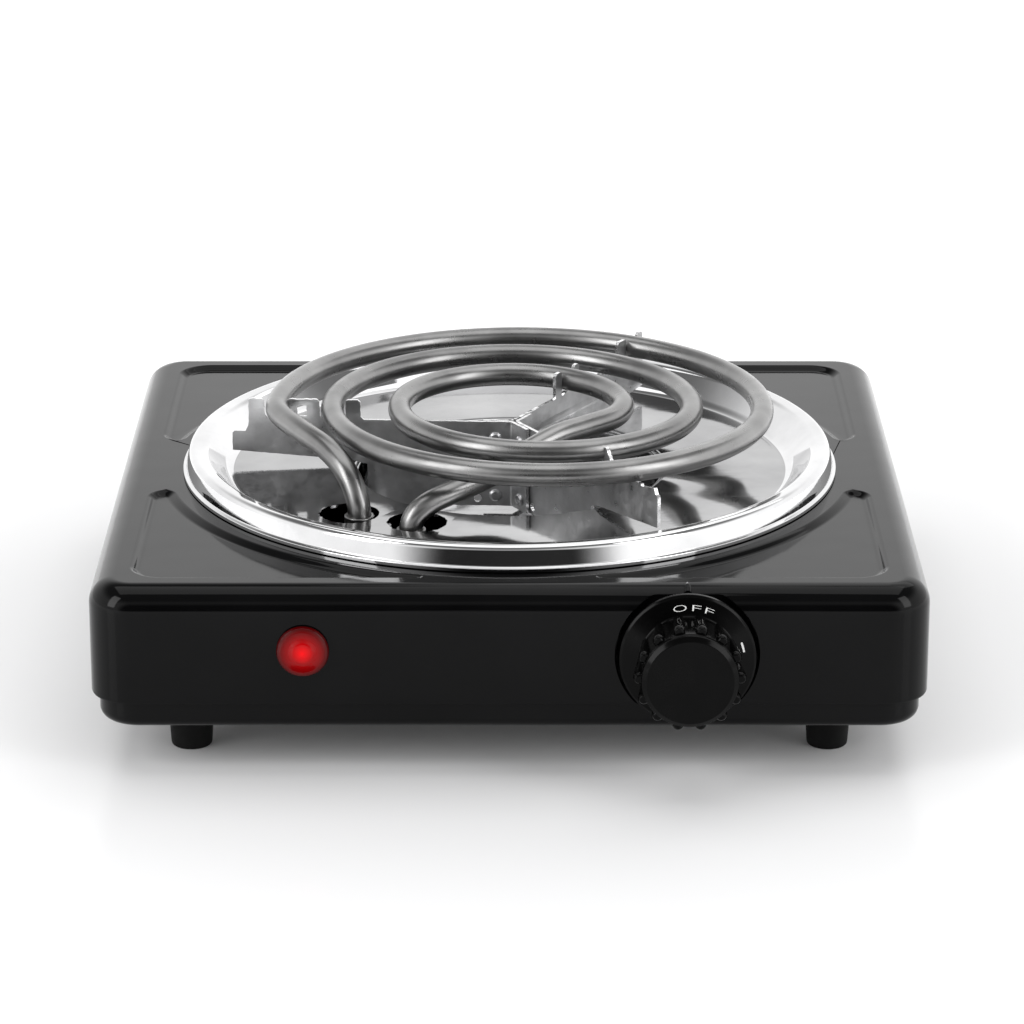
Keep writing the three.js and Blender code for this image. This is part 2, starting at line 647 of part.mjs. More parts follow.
// Angle piece spot-welded to the back arm; its foot is bolted down through the bowl.
function hubBracket() {
  const { from, to, width, top } = HUB_BRACKET;
  const low = HUB_FOOT.z[0];
  const side = -0.2; // just past the arm's middle plane, where the ear stands
  const ear = [[from, low], [to, low], [to, top], [from, top]];
  const base = [[from, side], [from, -width], [to, -width], [to, side]];
  const standing = standingStrip(ear, ARMS.back.angle, STRIP_OFFSET - STRIP - GAP);
  const plate = plateZ(base.map(([r, o]) => hubPoint(ARMS.back.angle, r, o)), HUB_FOOT.z);
  return standing.add(plate).subtract(rodZ(SMALL_HOLE, [WELL_Z - 1, WELL_Z + 4], HUB_BOLT, 12));
}

// ---------------------------------------------------------------- heating element
// The spiral is a chain of half circles. They join where it crosses the left-right line, at these X.
const COIL_CROSSINGS = [32.6, -31.6, 52.3, -50.9, 72.5, -66.8];

function coilPoints() {
  const points = [];
  const steps = 12;
  for (let turn = 0; turn + 1 < COIL_CROSSINGS.length; turn += 1) {
    const centre = (COIL_CROSSINGS[turn] + COIL_CROSSINGS[turn + 1]) / 2;
    const reach = (COIL_CROSSINGS[turn] - COIL_CROSSINGS[turn + 1]) / 2;
    for (let i = 0; i < steps; i += 1) {
      const angle = (Math.PI * i) / steps;
      points.push([centre + reach * Math.cos(angle), reach * Math.sin(angle), COIL_Z]);
    }
  }
  points.push([COIL_CROSSINGS.at(-1), 0, COIL_Z]);
  return points;
}

const INNER_LEG = [
  [...TERMINAL_INNER, TUBE_END_Z], [...TERMINAL_INNER, 48], [...TERMINAL_INNER, 52.5],
  [-25.9, -52.4, 55.8], [-22.3, -50.9, 58.6], [-16.3, -47.8, 60.6], [-8, -41.6, 62.3],
  [-3.5, -38.1, 63.6], [2.5, -33.4, 66.3], [13.3, -25, 69.9], [21.2, -18.6, 70.5], [29.4, -10, 70.5],
];
const OUTER_LEG = [
  [-65.4, -7.5, 70.5], [-58.8, -21.6, 70.2], [-50.7, -33.4, 68.4], [-46, -39.7, 64.9],
  [-43.1, -43.4, 60], [-41.9, -45.1, 55.4], [...TERMINAL_OUTER, 51], [...TERMINAL_OUTER, TUBE_END_Z],
];

function heatingElement() {
  const points = [...INNER_LEG, ...coilPoints(), ...OUTER_LEG];
  return tube(points, TUBE_RADIUS, 8, 112);
}

function terminalSleeve(at, top) {
  return ringZ(TUBE_RADIUS + 0.4, TUBE_RADIUS + 0.9, [48.4, top], at, 16);
}

function terminalInsulator(at) {
  return ringZ(1.4, 3.1, [TUBE_END_Z - 5, TUBE_END_Z - GAP], at, 16);
}

const SPADE = { bottom: 28, half: 2.6 };

function terminalPin([x, y]) {
  const rod = rodZ(1, [SPADE.bottom + 4, TUBE_END_Z - 2 * GAP], [x, y], 12);
  const spade = block([x - SPADE.half, x + SPADE.half], [y - 0.4, y + 0.4], [SPADE.bottom, SPADE.bottom + 7]);
  return rod.add(spade);
}

// Bar under the shelf that ties both cold ends of the element to the bowl.
function elementClamp() {
  const [ax, ay] = TERMINAL_OUTER;
  const [bx, by] = TERMINAL_INNER;
  const angle = Math.atan2(by - ay, bx - ax);
  const end = 6.4;
  const outline = [
    ...arcPoints([bx, by], end, angle - RIGHT_ANGLE, angle + RIGHT_ANGLE, 6),
    ...arcPoints([ax, ay], end, angle + RIGHT_ANGLE, angle + 3 * RIGHT_ANGLE, 6),
  ];
  const z = [46.6, 47.8];
  const middle = [(ax + bx) / 2 - 0.3, (ay + by) / 2 - 0.4];
  const post = rodZ(2, [z[1] - 0.5, SHELF_Z - BOWL_SHEET - GAP], middle, 12);
  return cut(
    plateZ(outline, z).add(post),
    rodZ(TUBE_RADIUS + 0.4, [z[0] - 1, z[1] + 1], TERMINAL_OUTER),
    rodZ(TUBE_RADIUS + 0.4, [z[0] - 1, z[1] + 1], TERMINAL_INNER),
  );
}

// ---------------------------------------------------------------- thermostat and knob
const KNOB_AXIS = [KNOB_X, KNOB_Z];
const SHAFT_END_Y = -97;

function lobedOutline() {
  const points = [];
  const perLobe = 6;
  const heights = [0, 0.8, 1, 1, 0.8, 0];
  for (let i = 0; i < KNOB_LOBES * perLobe; i += 1) {
    const angle = (2 * Math.PI * (i + 0.5)) / (KNOB_LOBES * perLobe) + RIGHT_ANGLE;
    const radius = KNOB_CORE_RADIUS + (KNOB_GRIP_RADIUS - KNOB_CORE_RADIUS) * heights[i % perLobe];
    points.push([KNOB_X + radius * Math.cos(angle), KNOB_Z + radius * Math.sin(angle)]);
  }
  return points;
}

function knobBody() {
  const core = KNOB_CORE_RADIUS - 0.3;
  const body = turnedY([
    [0, -126], [core - 0.4, -126], [core, -125.4], [core, -112.6], [15.6, -111.6], [17.6, -110.9],
    [KNOB_SKIRT_RADIUS, -110.4], [KNOB_SKIRT_RADIUS, -109.2], [16.8, -109.2], [15.6, -110], [9, -110],
    [8, -109.2], [7, -107.4], [0, -107.4],
  ], KNOB_AXIS, 24);
  const grip = profileY(lobedOutline(), [-125.2, -111.6]);
  return cut(body.add(grip), rodY(SHAFT_RADIUS + GAP, [-120.5, -100], KNOB_AXIS));
}

function knobCap() {
  return turnedY([
    [0, KNOB_FACE_Y], [6, KNOB_FACE_Y + 0.1], [10.4, KNOB_FACE_Y + 0.4], [11.6, KNOB_FACE_Y + 0.8],
    [12.6, KNOB_FACE_Y + 1.5], [12.8, -126.8], [12.6, -126 - GAP], [0, -126 - GAP],
  ], KNOB_AXIS, 28);
}

function thermostatShaft() {
  const rod = turnedY([
    [0, -120], [SHAFT_RADIUS - 0.5, -120], [SHAFT_RADIUS, -119.5], [SHAFT_RADIUS, SHAFT_END_Y - 1],
    [SHAFT_RADIUS - 1, SHAFT_END_Y], [0, SHAFT_END_Y],
  ], KNOB_AXIS);
  const flat = block([KNOB_X - 4, KNOB_X + 4], [-121, -109], [KNOB_Z + 2.2, KNOB_Z + 5]);
  return rod.subtract(flat);
}

const BRACKET_FRONT_Y = POCKET_Y + WALL + GAP;

function thermostatBracket() {
  const thick = 1.2;
  const y = BRACKET_FRONT_Y;
  const top = KNOB_Z + 11;
  const outline = [
    [y, KNOB_Z - 10], [y + thick, KNOB_Z - 10], [y + thick, top - thick],
    [-82.4, top - thick], [-82.4, top], [y, top],
  ];
  const hole = [y - 1, y + 3];
  return cut(
    profileX(outline, [KNOB_X - 17, KNOB_X + 17]),
    rodY(SHAFT_RADIUS + 0.5, hole, KNOB_AXIS),
    rodY(SMALL_HOLE, hole, [KNOB_X - THERMOSTAT_SCREW_OFFSET, KNOB_Z], 12),
    rodY(SMALL_HOLE, hole, [KNOB_X + THERMOSTAT_SCREW_OFFSET, KNOB_Z], 12),
  );
}

function thermostatScrew(side) {
  const at = [KNOB_X + side * THERMOSTAT_SCREW_OFFSET, KNOB_Z];
  const seat = POCKET_Y - GAP;
  const outline = [[0, seat - 1.2], [1.8, seat - 1.2], [2.8, seat - 0.5], [2.8, seat], [0, seat]];
  const head = turnedY(outline, at, 16);
  return head.add(rodY(SMALL_SHANK, [seat - 0.5, BRACKET_FRONT_Y + 5], at, 12));
}

const BODY_BACK_Y = -86;

function thermostatBody() {
  const top = KNOB_Z + 11 - 1.2 - GAP;
  const shell = block([KNOB_X - 8, KNOB_X + 8], [SHAFT_END_Y + 1, BODY_BACK_Y], [KNOB_Z - 7, top]);
  return shell.subtract(rodY(2.4, [SHAFT_END_Y - 1, SHAFT_END_Y + 5], KNOB_AXIS));
}

function blade(frontY, bottomZ) {
  const x = [KNOB_X - 4, KNOB_X + 4];
  const strip = block(x, [frontY, frontY + 0.6], [bottomZ + 5, KNOB_Z + 7]);
  const spade = block([KNOB_X - 2.6, KNOB_X + 2.6], [frontY, frontY + 0.6], [bottomZ, bottomZ + 6]);
  return strip.add(spade);
}

// ---------------------------------------------------------------- lamp
const LAMP_AXIS = [LAMP_X, LAMP_Z];

function lampLens() {
  const seat = FRONT_Y - GAP;
  return turnedY([
    [0, seat - 2.1], [2.4, seat - 2], [3.9, seat - 1.4], [4.4, seat - 1.5],
    [5.6, seat - 1.8], [6.6, seat - 1.4], [LAMP_RADIUS, seat - 0.7], [LAMP_RADIUS, seat],
    [4.9, seat], [4.9, -99], [3.6, -99], [3.6, -106.6], [0, -106.6],
  ], LAMP_AXIS, 20);
}

function neonBulb() {
  return turnedY([
    [0, -105.6], [1.4, -105.2], [2.1, -104.2], [2.1, -96.4], [1.4, -95.8], [0, -95.8],
  ], LAMP_AXIS, 10);
}

function lampBody() {
  return cut(rodY(5.6, [-98.7, -86], LAMP_AXIS), rodY(2.6, [-100, -95], LAMP_AXIS, 16));
}

function lampClip() {
  const face = FRONT_Y + WALL + GAP;
  return ringY(5.2, 8.2, [face, face + 0.8], LAMP_AXIS, 12);
}

// ---------------------------------------------------------------- cable entry and terminals
const GLAND_AXIS = [GLAND_X, GLAND_Z];
const GLAND_NUT_Y = [REAR_Y - WALL - GAP - 3.4, REAR_Y - WALL - GAP];

function cordGland() {
  const face = REAR_Y + GAP;
  return turnedY([
    [GLAND_BORE, 100], [5.4, 100], [5.4, face], [8, face], [8, face + 1.6],
    [6.4, GLAND_END_Y], [4.4, GLAND_END_Y], [GLAND_BORE, GLAND_END_Y - 0.8],
  ], GLAND_AXIS, 20);
}

function glandNut() {
  return rodY(8.6, GLAND_NUT_Y, GLAND_AXIS, 6).subtract(rodY(5.8, [100, 110], GLAND_AXIS));
}

const BLOCK = { x: [14, 46], y: [60, 80], z: [TRAY_Z + WALL + GAP, 29], poles: [20, 30, 40] };

function terminalBlock() {
  let body = block(BLOCK.x, BLOCK.y, BLOCK.z);
  for (const x of BLOCK.poles) {
    body = cut(
      body,
      rodY(1.8, [BLOCK.y[0] - 1, BLOCK.y[1] + 1], [x, 21.5], 12),
      rodZ(2.2, [25.5, 30], [x, 65], 12),
      rodZ(2.2, [25.5, 30], [x, 75], 12),
    );
  }
  for (const x of [25, 35]) {
    body = body.subtract(block([x - 0.8, x + 0.8], [BLOCK.y[0] - 1, BLOCK.y[1] + 1], [25, 30]));
  }
  return body;
}

const WIRE_RADIUS = 0.9;
const wire = (points) => tube(points, WIRE_RADIUS, 5, 16);

const WIRES = {
  wire_supply_live: [
    [40, 62, 21.5], [41, 52, 20.5], [54, 28, 18.5], [66, 0, 18],
    [68, -45, 18], [58, -72, 19.5], [47.3, -80.6, 23],
  ],
  wire_element_live: [
    [43.6, -86.6, 18], [30, -84, 18], [0, -76, 18], [-28, -66, 18], [-40, -54, 20], [-41.8, -45.3, 26.8],
  ],
  wire_element_neutral: [
    [20, 62, 21.5], [20, 52, 20.5], [8, 28, 18], [-14, 2, 17.5],
    [-24, -30, 18], [-26.6, -46, 20], [-27.2, -52.9, 26.8],
  ],
  wire_lamp_live: [[-57.4, -84.9, 36.7], [-61, -74, 33], [-58, -58, 31], [-46.2, -45.3, 31]],
  wire_lamp_neutral: [[-52.4, -84.9, 36.7], [-48, -76, 34], [-37, -63, 32], [-31.4, -52.9, 31]],
  wire_earth: [[30, 62, 21.5], [30, 57, 20.8], [30, 53, 18.8], [30, 49.6, 17]],
};

// ---------------------------------------------------------------- assembly
const model = new THREE.Group();
const assembly = new THREE.Group();
assembly.position.y = HOUSING_Y;
model.add(assembly);

function place(name, body, material, group = assembly) {
  const mesh = new THREE.Mesh(toGeometry(body), FINISHES[material]);
  mesh.name = name;
  group.add(mesh);
}

function addHousing() {
  place('top_housing', topHousing(), 'enamel');
  place('base_tray', baseTray(), 'enamel');
  const names = ['front_left', 'front_right', 'back_right', 'back_left'];
  footPlaces().forEach((at, i) => {
    place(`foot_${names[i]}`, foot(at), 'rubber');
    place(`foot_screw_${names[i]}`, footScrew(at), 'zinc');
    place(`corner_bracket_${names[i]}`, cornerBracket(at), 'zinc');
  });
  place('earth_screw', earthScrew(), 'brass');
}

function addBowl() {
  place('drip_bowl', dripBowl(), 'chrome');
  place('bowl_strap', bowlStrap(), 'zinc');
  place('heat_shield', heatShield(), 'zinc');
  place('hub_bolt', hubBolt(), 'zinc');
  place('hub_nut', hubNut(), 'zinc');
}

function addSupport() {
  place('hub_bracket', hubBracket(), 'zinc');
  for (const [name, arm] of Object.entries(ARMS)) {
    place(`support_arm_${name}`, supportArm(name), 'strip');
    RIVET_HEIGHTS.forEach((z, i) => {
      place(`hub_rivet_${name}_${['lower', 'upper'][i]}`, hubRivet(arm.angle, z), 'zinc');
    });
  }
}

function addElement() {
  place('heating_element', heatingElement(), 'element');
  place('terminal_sleeve_outer', terminalSleeve(TERMINAL_OUTER, 53.4), 'strip');
  place('terminal_sleeve_inner', terminalSleeve(TERMINAL_INNER, 52), 'strip');
  place('insulator_outer', terminalInsulator(TERMINAL_OUTER), 'ceramic');
  place('insulator_inner', terminalInsulator(TERMINAL_INNER), 'ceramic');
  place('terminal_pin_outer', terminalPin(TERMINAL_OUTER), 'brass');
  place('terminal_pin_inner', terminalPin(TERMINAL_INNER), 'brass');
  place('element_clamp', elementClamp(), 'zinc');
}

function addControls() {
  place('knob_body', knobBody(), 'knob');
  place('knob_cap', knobCap(), 'knob');
  place('thermostat_shaft', thermostatShaft(), 'zinc');
  place('thermostat_bracket', thermostatBracket(), 'zinc');
  place('thermostat_body', thermostatBody(), 'ceramic');
  place('bimetal_blade', blade(BODY_BACK_Y + GAP, 19), 'brass');
  place('contact_blade', blade(BODY_BACK_Y + 3, 19), 'brass');
  place('thermostat_screw_left', thermostatScrew(-1), 'zinc');
  place('thermostat_screw_right', thermostatScrew(1), 'zinc');
}

function addLamp() {
  place('lamp_lens', lampLens(), 'lens');
  place('neon_bulb', neonBulb(), 'glass');
  place('lamp_body', lampBody(), 'nylon');
  place('lamp_clip', lampClip(), 'zinc');
}

function addWiring() {
  place('cord_gland', cordGland(), 'gland');
  place('gland_nut', glandNut(), 'gland');
  place('terminal_block', terminalBlock(), 'nylon');
  const colours = { live: 'wireBrown', neutral: 'wireBlue', earth: 'wireEarth' };
  for (const [name, points] of Object.entries(WIRES)) {
    place(name, wire(points), colours[name.split('_').pop()]);
  }
}

addHousing();
addBowl();
addSupport();
addElement();
addControls();
addLamp();
addWiring();

export default model;
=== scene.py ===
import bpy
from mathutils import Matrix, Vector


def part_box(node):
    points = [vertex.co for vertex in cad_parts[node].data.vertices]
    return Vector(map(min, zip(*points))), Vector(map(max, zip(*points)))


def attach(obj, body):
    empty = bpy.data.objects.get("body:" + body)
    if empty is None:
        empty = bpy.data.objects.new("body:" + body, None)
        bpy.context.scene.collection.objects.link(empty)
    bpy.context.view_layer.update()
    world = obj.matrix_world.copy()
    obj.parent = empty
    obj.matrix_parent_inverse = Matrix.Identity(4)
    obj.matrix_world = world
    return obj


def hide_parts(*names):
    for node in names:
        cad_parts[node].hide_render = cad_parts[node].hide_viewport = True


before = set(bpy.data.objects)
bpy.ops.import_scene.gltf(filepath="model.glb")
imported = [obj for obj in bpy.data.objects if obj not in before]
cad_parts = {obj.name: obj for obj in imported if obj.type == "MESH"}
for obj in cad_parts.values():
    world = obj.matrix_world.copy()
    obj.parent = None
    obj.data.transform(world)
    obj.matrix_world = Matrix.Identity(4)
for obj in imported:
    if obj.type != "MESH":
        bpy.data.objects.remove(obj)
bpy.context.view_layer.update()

import math
import random

import bmesh
import bpy
from mathutils import Matrix, Vector
from mathutils.geometry import tessellate_polygon

# Everything is drawn in millimetres from the middle of the housing, then put in the frame by finishPiece.
middleY = sum(corner.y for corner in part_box("top_housing")) / 2
scene = bpy.context.scene


def boxOf(node):
    low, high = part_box(node)
    shift = Vector((0, middleY, 0))
    return (low - shift) * 1000, (high - shift) * 1000


def middleOf(node):
    low, high = boxOf(node)
    return (low + high) / 2


# Mesh helpers.

def addObject(name, data):
    obj = bpy.data.objects.new(name, data)
    scene.collection.objects.link(obj)
    return obj


def addMesh(name, points, faces, edges=()):
    mesh = bpy.data.meshes.new(name)
    mesh.from_pydata([tuple(p) for p in points], edges, faces)
    return addObject(name, mesh)


def outward(obj):
    bm = bmesh.new()
    bm.from_mesh(obj.data)
    bmesh.ops.remove_doubles(bm, verts=bm.verts, dist=1e-4)
    bmesh.ops.dissolve_degenerate(bm, edges=bm.edges, dist=1e-4)
    bmesh.ops.recalc_face_normals(bm, faces=bm.faces)
    bm.to_mesh(obj.data)
    bm.free()
    return obj


def baked(obj):
    graph = bpy.context.evaluated_depsgraph_get()
    graph.update()
    mesh = bpy.data.meshes.new_from_object(
        obj.evaluated_get(graph), preserve_all_data_layers=True, depsgraph=graph)
    obj.modifiers.clear()
    old = obj.data
    obj.data = mesh
    bpy.data.meshes.remove(old)
    return obj


def carve(body, tools, operation="DIFFERENCE"):
    for tool in tools:
        cutter = body.modifiers.new(tool.name, "BOOLEAN")
        cutter.operation = operation
        cutter.solver = "MANIFOLD"
        cutter.object = tool
    baked(body)
    for tool in tools:
        bpy.data.objects.remove(tool)
    return body


def bevelled(obj, width):
    edge = obj.modifiers.new("edge", "BEVEL")
    edge.width = width
    edge.segments = 2
    edge.limit_method = "ANGLE"
    edge.angle_limit = math.radians(50)
    edge.harden_normals = False
    return baked(obj)


def smoothed(obj, sharp=35, weighted=True):
    obj.data.shade_smooth()
    obj.data.set_sharp_from_angle(angle=math.radians(sharp))
    if not weighted:
        return obj
    even = obj.modifiers.new("even", "WEIGHTED_NORMAL")
    even.keep_sharp = True
    return baked(obj)


def joined(name, parts):
    bm = bmesh.new()
    materials = []
    for part in parts:
        start = len(bm.faces)
        bm.from_mesh(part.data)
        bm.faces.ensure_lookup_table()
        slots = list(part.data.materials) or [None]
        for face in bm.faces[start:]:
            finish = slots[min(face.material_index, len(slots) - 1)]
            if finish not in materials:
                materials.append(finish)
            face.material_index = materials.index(finish)
        bpy.data.objects.remove(part)
    mesh = bpy.data.meshes.new(name)
    bm.to_mesh(mesh)
    bm.free()
    for finish in materials:
        mesh.materials.append(finish)
    return addObject(name, mesh)


def painted(obj, material):
    obj.data.materials.clear()
    obj.data.materials.append(material)
    return obj


def finishPiece(obj, body, slotName, *nodes):
    obj.data.transform(Matrix.Translation((0, middleY, 0)) @ Matrix.Scale(0.001, 4))
    obj.data.update()
    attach(obj, body)
    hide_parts(*nodes)
    print("made", obj.name, len(obj.data.polygons), "faces")


def arc(cx, cy, radius, start, end, steps):
    turns = [math.radians(start + (end - start) * k / steps) for k in range(steps + 1)]
    return [(cx + radius * math.cos(t), cy + radius * math.sin(t)) for t in turns]


def softLine(points, steps=5, closed=False):
    # rounds the corners of an outline; a point is (across, up) or (across, up, corner radius)
    out = []
    count = len(points)
    for i, point in enumerate(points):
        here = Vector(point[:2])
        radius = point[2] if len(point) > 2 else 0
        if not radius or (not closed and i in (0, count - 1)):
            out.append(tuple(here))
            continue
        back = Vector(points[i - 1][:2]) - here
        ahead = Vector(points[(i + 1) % count][:2]) - here
        half = back.angle(ahead) / 2
        reach = min(radius / math.tan(half), 0.49 * back.length, 0.49 * ahead.length)
        radius = reach * math.tan(half)
        centre = here + (back.normalized() + ahead.normalized()).normalized() * radius / math.sin(half)
        first = here + back.normalized() * reach - centre
        last = here + ahead.normalized() * reach - centre
        start = math.atan2(first.y, first.x)
        sweep = (math.atan2(last.y, last.x) - start + math.pi) % (2 * math.pi) - math.pi
        for k in range(steps + 1):
            t = start + sweep * k / steps
            out.append((centre.x + radius * math.cos(t), centre.y + radius * math.sin(t)))
    return out


def turned(name, outline, centre=(0, 0), axis="Z", sides=96):
    points, rings, faces = [], [], []
    for radius, height in outline:
        count = 1 if radius < 1e-4 else sides
        rings.append(list(range(len(points), len(points) + count)))
        for k in range(count):
            t = 2 * math.pi * k / sides
            a, b = centre[0] + radius * math.cos(t), centre[1] + radius * math.sin(t)
            points.append((a, b, height) if axis == "Z" else (a, height, b))
    if len(rings[0]) > 1:
        rings.append(rings[0])
    for low, high in zip(rings, rings[1:]):
        for k in range(sides):
            n = (k + 1) % sides
            if len(low) == 1 and len(high) > 1:
                faces.append((low[0], high[k], high[n]))
            elif len(high) == 1 and len(low) > 1:
                faces.append((low[k], high[0], low[n]))
            elif len(low) > 1:
                faces.append((low[k], high[k], high[n], low[n]))
    return outward(addMesh(name, points, faces))


def loft(name, levels):
    points, faces = [], []
    count = len(levels[0][0])
    for outline, z in levels:
        points += [(x, y, z) for x, y in outline]
    for level in range(len(levels) - 1):
        for i in range(count):
            a, b = level * count + i, level * count + (i + 1) % count
            faces.append((a, b, b + count, a + count))
    top = (len(levels) - 1) * count
    for start in (0, top):
        rim = [Vector((x, y, 0)) for x, y, z in points[start:start + count]]
        faces += [tuple(start + k for k in corner)
                  for corner in tessellate_polygon([rim]) if len(set(corner)) == 3]
    return outward(addMesh(name, points, faces))


def roundedRectangle(width, depth, corner, steps=10):
    out = []
    for sx, sy, start in ((1, 1, 0), (-1, 1, 90), (-1, -1, 180), (1, -1, 270)):
        out += arc(sx * (width / 2 - corner), sy * (depth / 2 - corner), corner, start, start + 90, steps)
    return out


def block(name, low, high):
    (x0, y0, z0), (x1, y1, z1) = low, high
    return loft(name, [([(x0, y0), (x1, y0), (x1, y1), (x0, y1)], z) for z in (z0, z1)])


# Node helpers.

def fill(tree, node, inputs):
    # an input given as a socket is linked, anything else is its value
    for key, value in inputs.items():
        if isinstance(value, bpy.types.NodeSocket):
            tree.links.new(value, node.inputs[key])
        else:
            node.inputs[key].default_value = value


def addNode(tree, kind, inputs=None, **settings):
    node = tree.nodes.new(kind)
    for name, value in settings.items():
        setattr(node, name, value)
    fill(tree, node, inputs or {})
    return node


def ranged(tree, source, edges, levels, shape="LINEAR"):
    return addNode(tree, "ShaderNodeMapRange", {
        "Value": source, "From Min": edges[0], "From Max": edges[1],
        "To Min": levels[0], "To Max": levels[1]}, interpolation_type=shape).outputs[0]


def newTree(name, inputs, build):
    # build returns a geometry socket; smooth faces, real geometry and the finish follow it
    tree = bpy.data.node_groups.new(name, "GeometryNodeTree")
    for label, kind in {**inputs, "Finish": "Material"}.items():
        tree.interface.new_socket(label, in_out="INPUT", socket_type="NodeSocket" + kind)
    tree.interface.new_socket("Geometry", in_out="OUTPUT", socket_type="NodeSocketGeometry")
    given = tree.nodes.new("NodeGroupInput").outputs
    real = addNode(tree, "GeometryNodeRealizeInstances", {"Geometry": build(tree, given)})
    smooth = addNode(tree, "GeometryNodeSetShadeSmooth", {"Geometry": real.outputs[0]})
    finish = addNode(tree, "GeometryNodeSetMaterial", {
        "Geometry": smooth.outputs[0], "Material": given["Finish"]})
    addNode(tree, "NodeGroupOutput", {"Geometry": finish.outputs[0]})
    return tree


def tubeNodes(tree, given):
    line = addNode(tree, "GeometryNodeMeshToCurve", {"Mesh": given["Path"]})
    ring = addNode(tree, "GeometryNodeCurvePrimitiveCircle", {
        "Radius": given["Tube radius"], "Resolution": given["Sides"]})
    return addNode(tree, "GeometryNodeCurveToMesh", {
        "Curve": line.outputs[0], "Profile Curve": ring.outputs[0], "Fill Caps": True}).outputs[0]


def repeatNodes(tree, given):
    piece = addNode(tree, "GeometryNodeObjectInfo", {"Object": given["Piece"]})
    turn = addNode(tree, "GeometryNodeInputNamedAttribute", {"Name": "turn"}, data_type="FLOAT_VECTOR")
    return addNode(tree, "GeometryNodeInstanceOnPoints", {
        "Points": given["Places"], "Instance": piece.outputs["Geometry"],
        "Rotation": turn.outputs["Attribute"], "Scale": given["Size"]}).outputs[0]


def lobeNodes(tree, given):
    lobe = addNode(tree, "GeometryNodeObjectInfo", {"Object": given["Lobe"]})
    ring = addNode(tree, "GeometryNodeMeshCircle", {"Vertices": given["Count"], "Radius": given["Radius"]})
    index = addNode(tree, "GeometryNodeInputIndex")
    step = addNode(tree, "ShaderNodeMath", {0: 2 * math.pi, 1: given["Count"]}, operation="DIVIDE")
    angle = addNode(tree, "ShaderNodeMath", {0: index.outputs[0], 1: step.outputs[0]}, operation="MULTIPLY")
    turn = addNode(tree, "ShaderNodeCombineXYZ", {"Z": angle.outputs[0]})
    return addNode(tree, "GeometryNodeInstanceOnPoints", {
        "Points": ring.outputs["Mesh"], "Instance": lobe.outputs["Geometry"],
        "Rotation": turn.outputs[0]}).outputs[0]


def grown(obj, tree, values):
    # runs a node tree on obj and keeps the result as a plain mesh
    nodes = obj.modifiers.new(tree.name, "NODES")
    nodes.node_group = tree
    for socket in tree.interface.items_tree:
        if socket.in_out == "INPUT" and socket.name in values:
            nodes[socket.identifier] = values[socket.name]
    return baked(obj)


def repeated(name, piece, places, material, size=1.0):
    obj = addMesh(name, [spot for spot, turn in places], [])
    turns = obj.data.attributes.new("turn", "FLOAT_VECTOR", "POINT")
    for item, (spot, turn) in zip(turns.data, places):
        item.vector = turn
    grown(obj, repeatPiece, {"Piece": piece, "Size": size, "Finish": material})
    bpy.data.objects.remove(piece)
    return obj


sweptTube = newTree("sweptTube", {"Path": "Geometry", "Tube radius": "Float", "Sides": "Int"}, tubeNodes)
repeatPiece = newTree("repeatPiece", {"Places": "Geometry", "Piece": "Object", "Size": "Float"}, repeatNodes)
lobeRing = newTree("lobeRing", {"Lobe": "Object", "Count": "Int", "Radius": "Float"}, lobeNodes)
print("node trees ready")


# Finishes: one shader for all, with colour clouds, uneven gloss, fine grain and optional scratches.

shading = {"toneEdges": (0.32, 0.68), "noiseEdges": (0.3, 0.7), "markEdges": (0.52, 0.7),
           "spangle": (-0.06, 0.08)}


def newMaterial(name):
    mat = bpy.data.materials.new(name)
    mat.use_nodes = True
    tree = mat.node_tree
    return mat, tree, tree.nodes["Principled BSDF"], addNode(tree, "ShaderNodeTexCoord").outputs["Object"]


def newFinish(name, look):
    mat, tree, shader, spot = newMaterial(name)

    def cloud(scale, detail, roughness=0.55, vector=spot):
        return addNode(tree, "ShaderNodeTexNoise", {
            "Scale": scale, "Detail": detail, "Roughness": roughness, "Vector": vector}).outputs["Fac"]

    def plus(a, b):
        return addNode(tree, "ShaderNodeMath", {0: a, 1: b}).outputs[0]

    tones = addNode(tree, "ShaderNodeValToRGB", {"Fac": cloud(look.get("cloud", 60), 5)})
    for stop, tone, edge in zip(tones.color_ramp.elements, ("dark", "light"), shading["toneEdges"]):
        stop.position = edge
        stop.color = (*look[tone], 1)
    gloss = ranged(tree, cloud(look.get("patch", 140), 6, 0.65), shading["noiseEdges"], look["rough"])
    height = cloud(look.get("grain", 900), 3)
    if "spangle" in look:  # flat crystals of a galvanised or cast skin
        cell = addNode(tree, "ShaderNodeTexVoronoi", {"Scale": look["spangle"], "Vector": spot})
        gloss = plus(gloss, ranged(tree, cell.outputs["Color"], (0, 1), shading["spangle"]))
    if "scratch" in look:  # long fine marks along one direction
        along = addNode(tree, "ShaderNodeMapping", {
            "Scale": look["scratch"], "Rotation": look.get("scratchTurn", (0, 0, 0.4)), "Vector": spot})
        marks = cloud(1, 4, 0.5, along.outputs[0])
        edges = shading["markEdges"]
        gloss = plus(gloss, ranged(tree, marks, edges, (0, look.get("scratchRough", 0.12))))
        height = plus(height, ranged(tree, marks, edges, (0, look.get("scratchDepth", 0.6))))
    bump = addNode(tree, "ShaderNodeBump", {
        "Strength": look.get("bump", 0.1), "Distance": look.get("bumpHeight", 0.00002), "Height": height})
    if "wave" in look:  # slow waviness of pressed sheet
        scale, depth = look["wave"]
        swell = addNode(tree, "ShaderNodeBump", {"Strength": 1, "Distance": depth, "Height": cloud(scale, 1)})
        fill(tree, bump, {"Normal": swell.outputs[0]})
    fill(tree, shader, {
        "Metallic": look.get("metal", 0.0), "Specular IOR Level": look.get("specular", 0.5),
        "Base Color": tones.outputs["Color"], "Roughness": gloss, "Normal": bump.outputs[0]})
    return mat


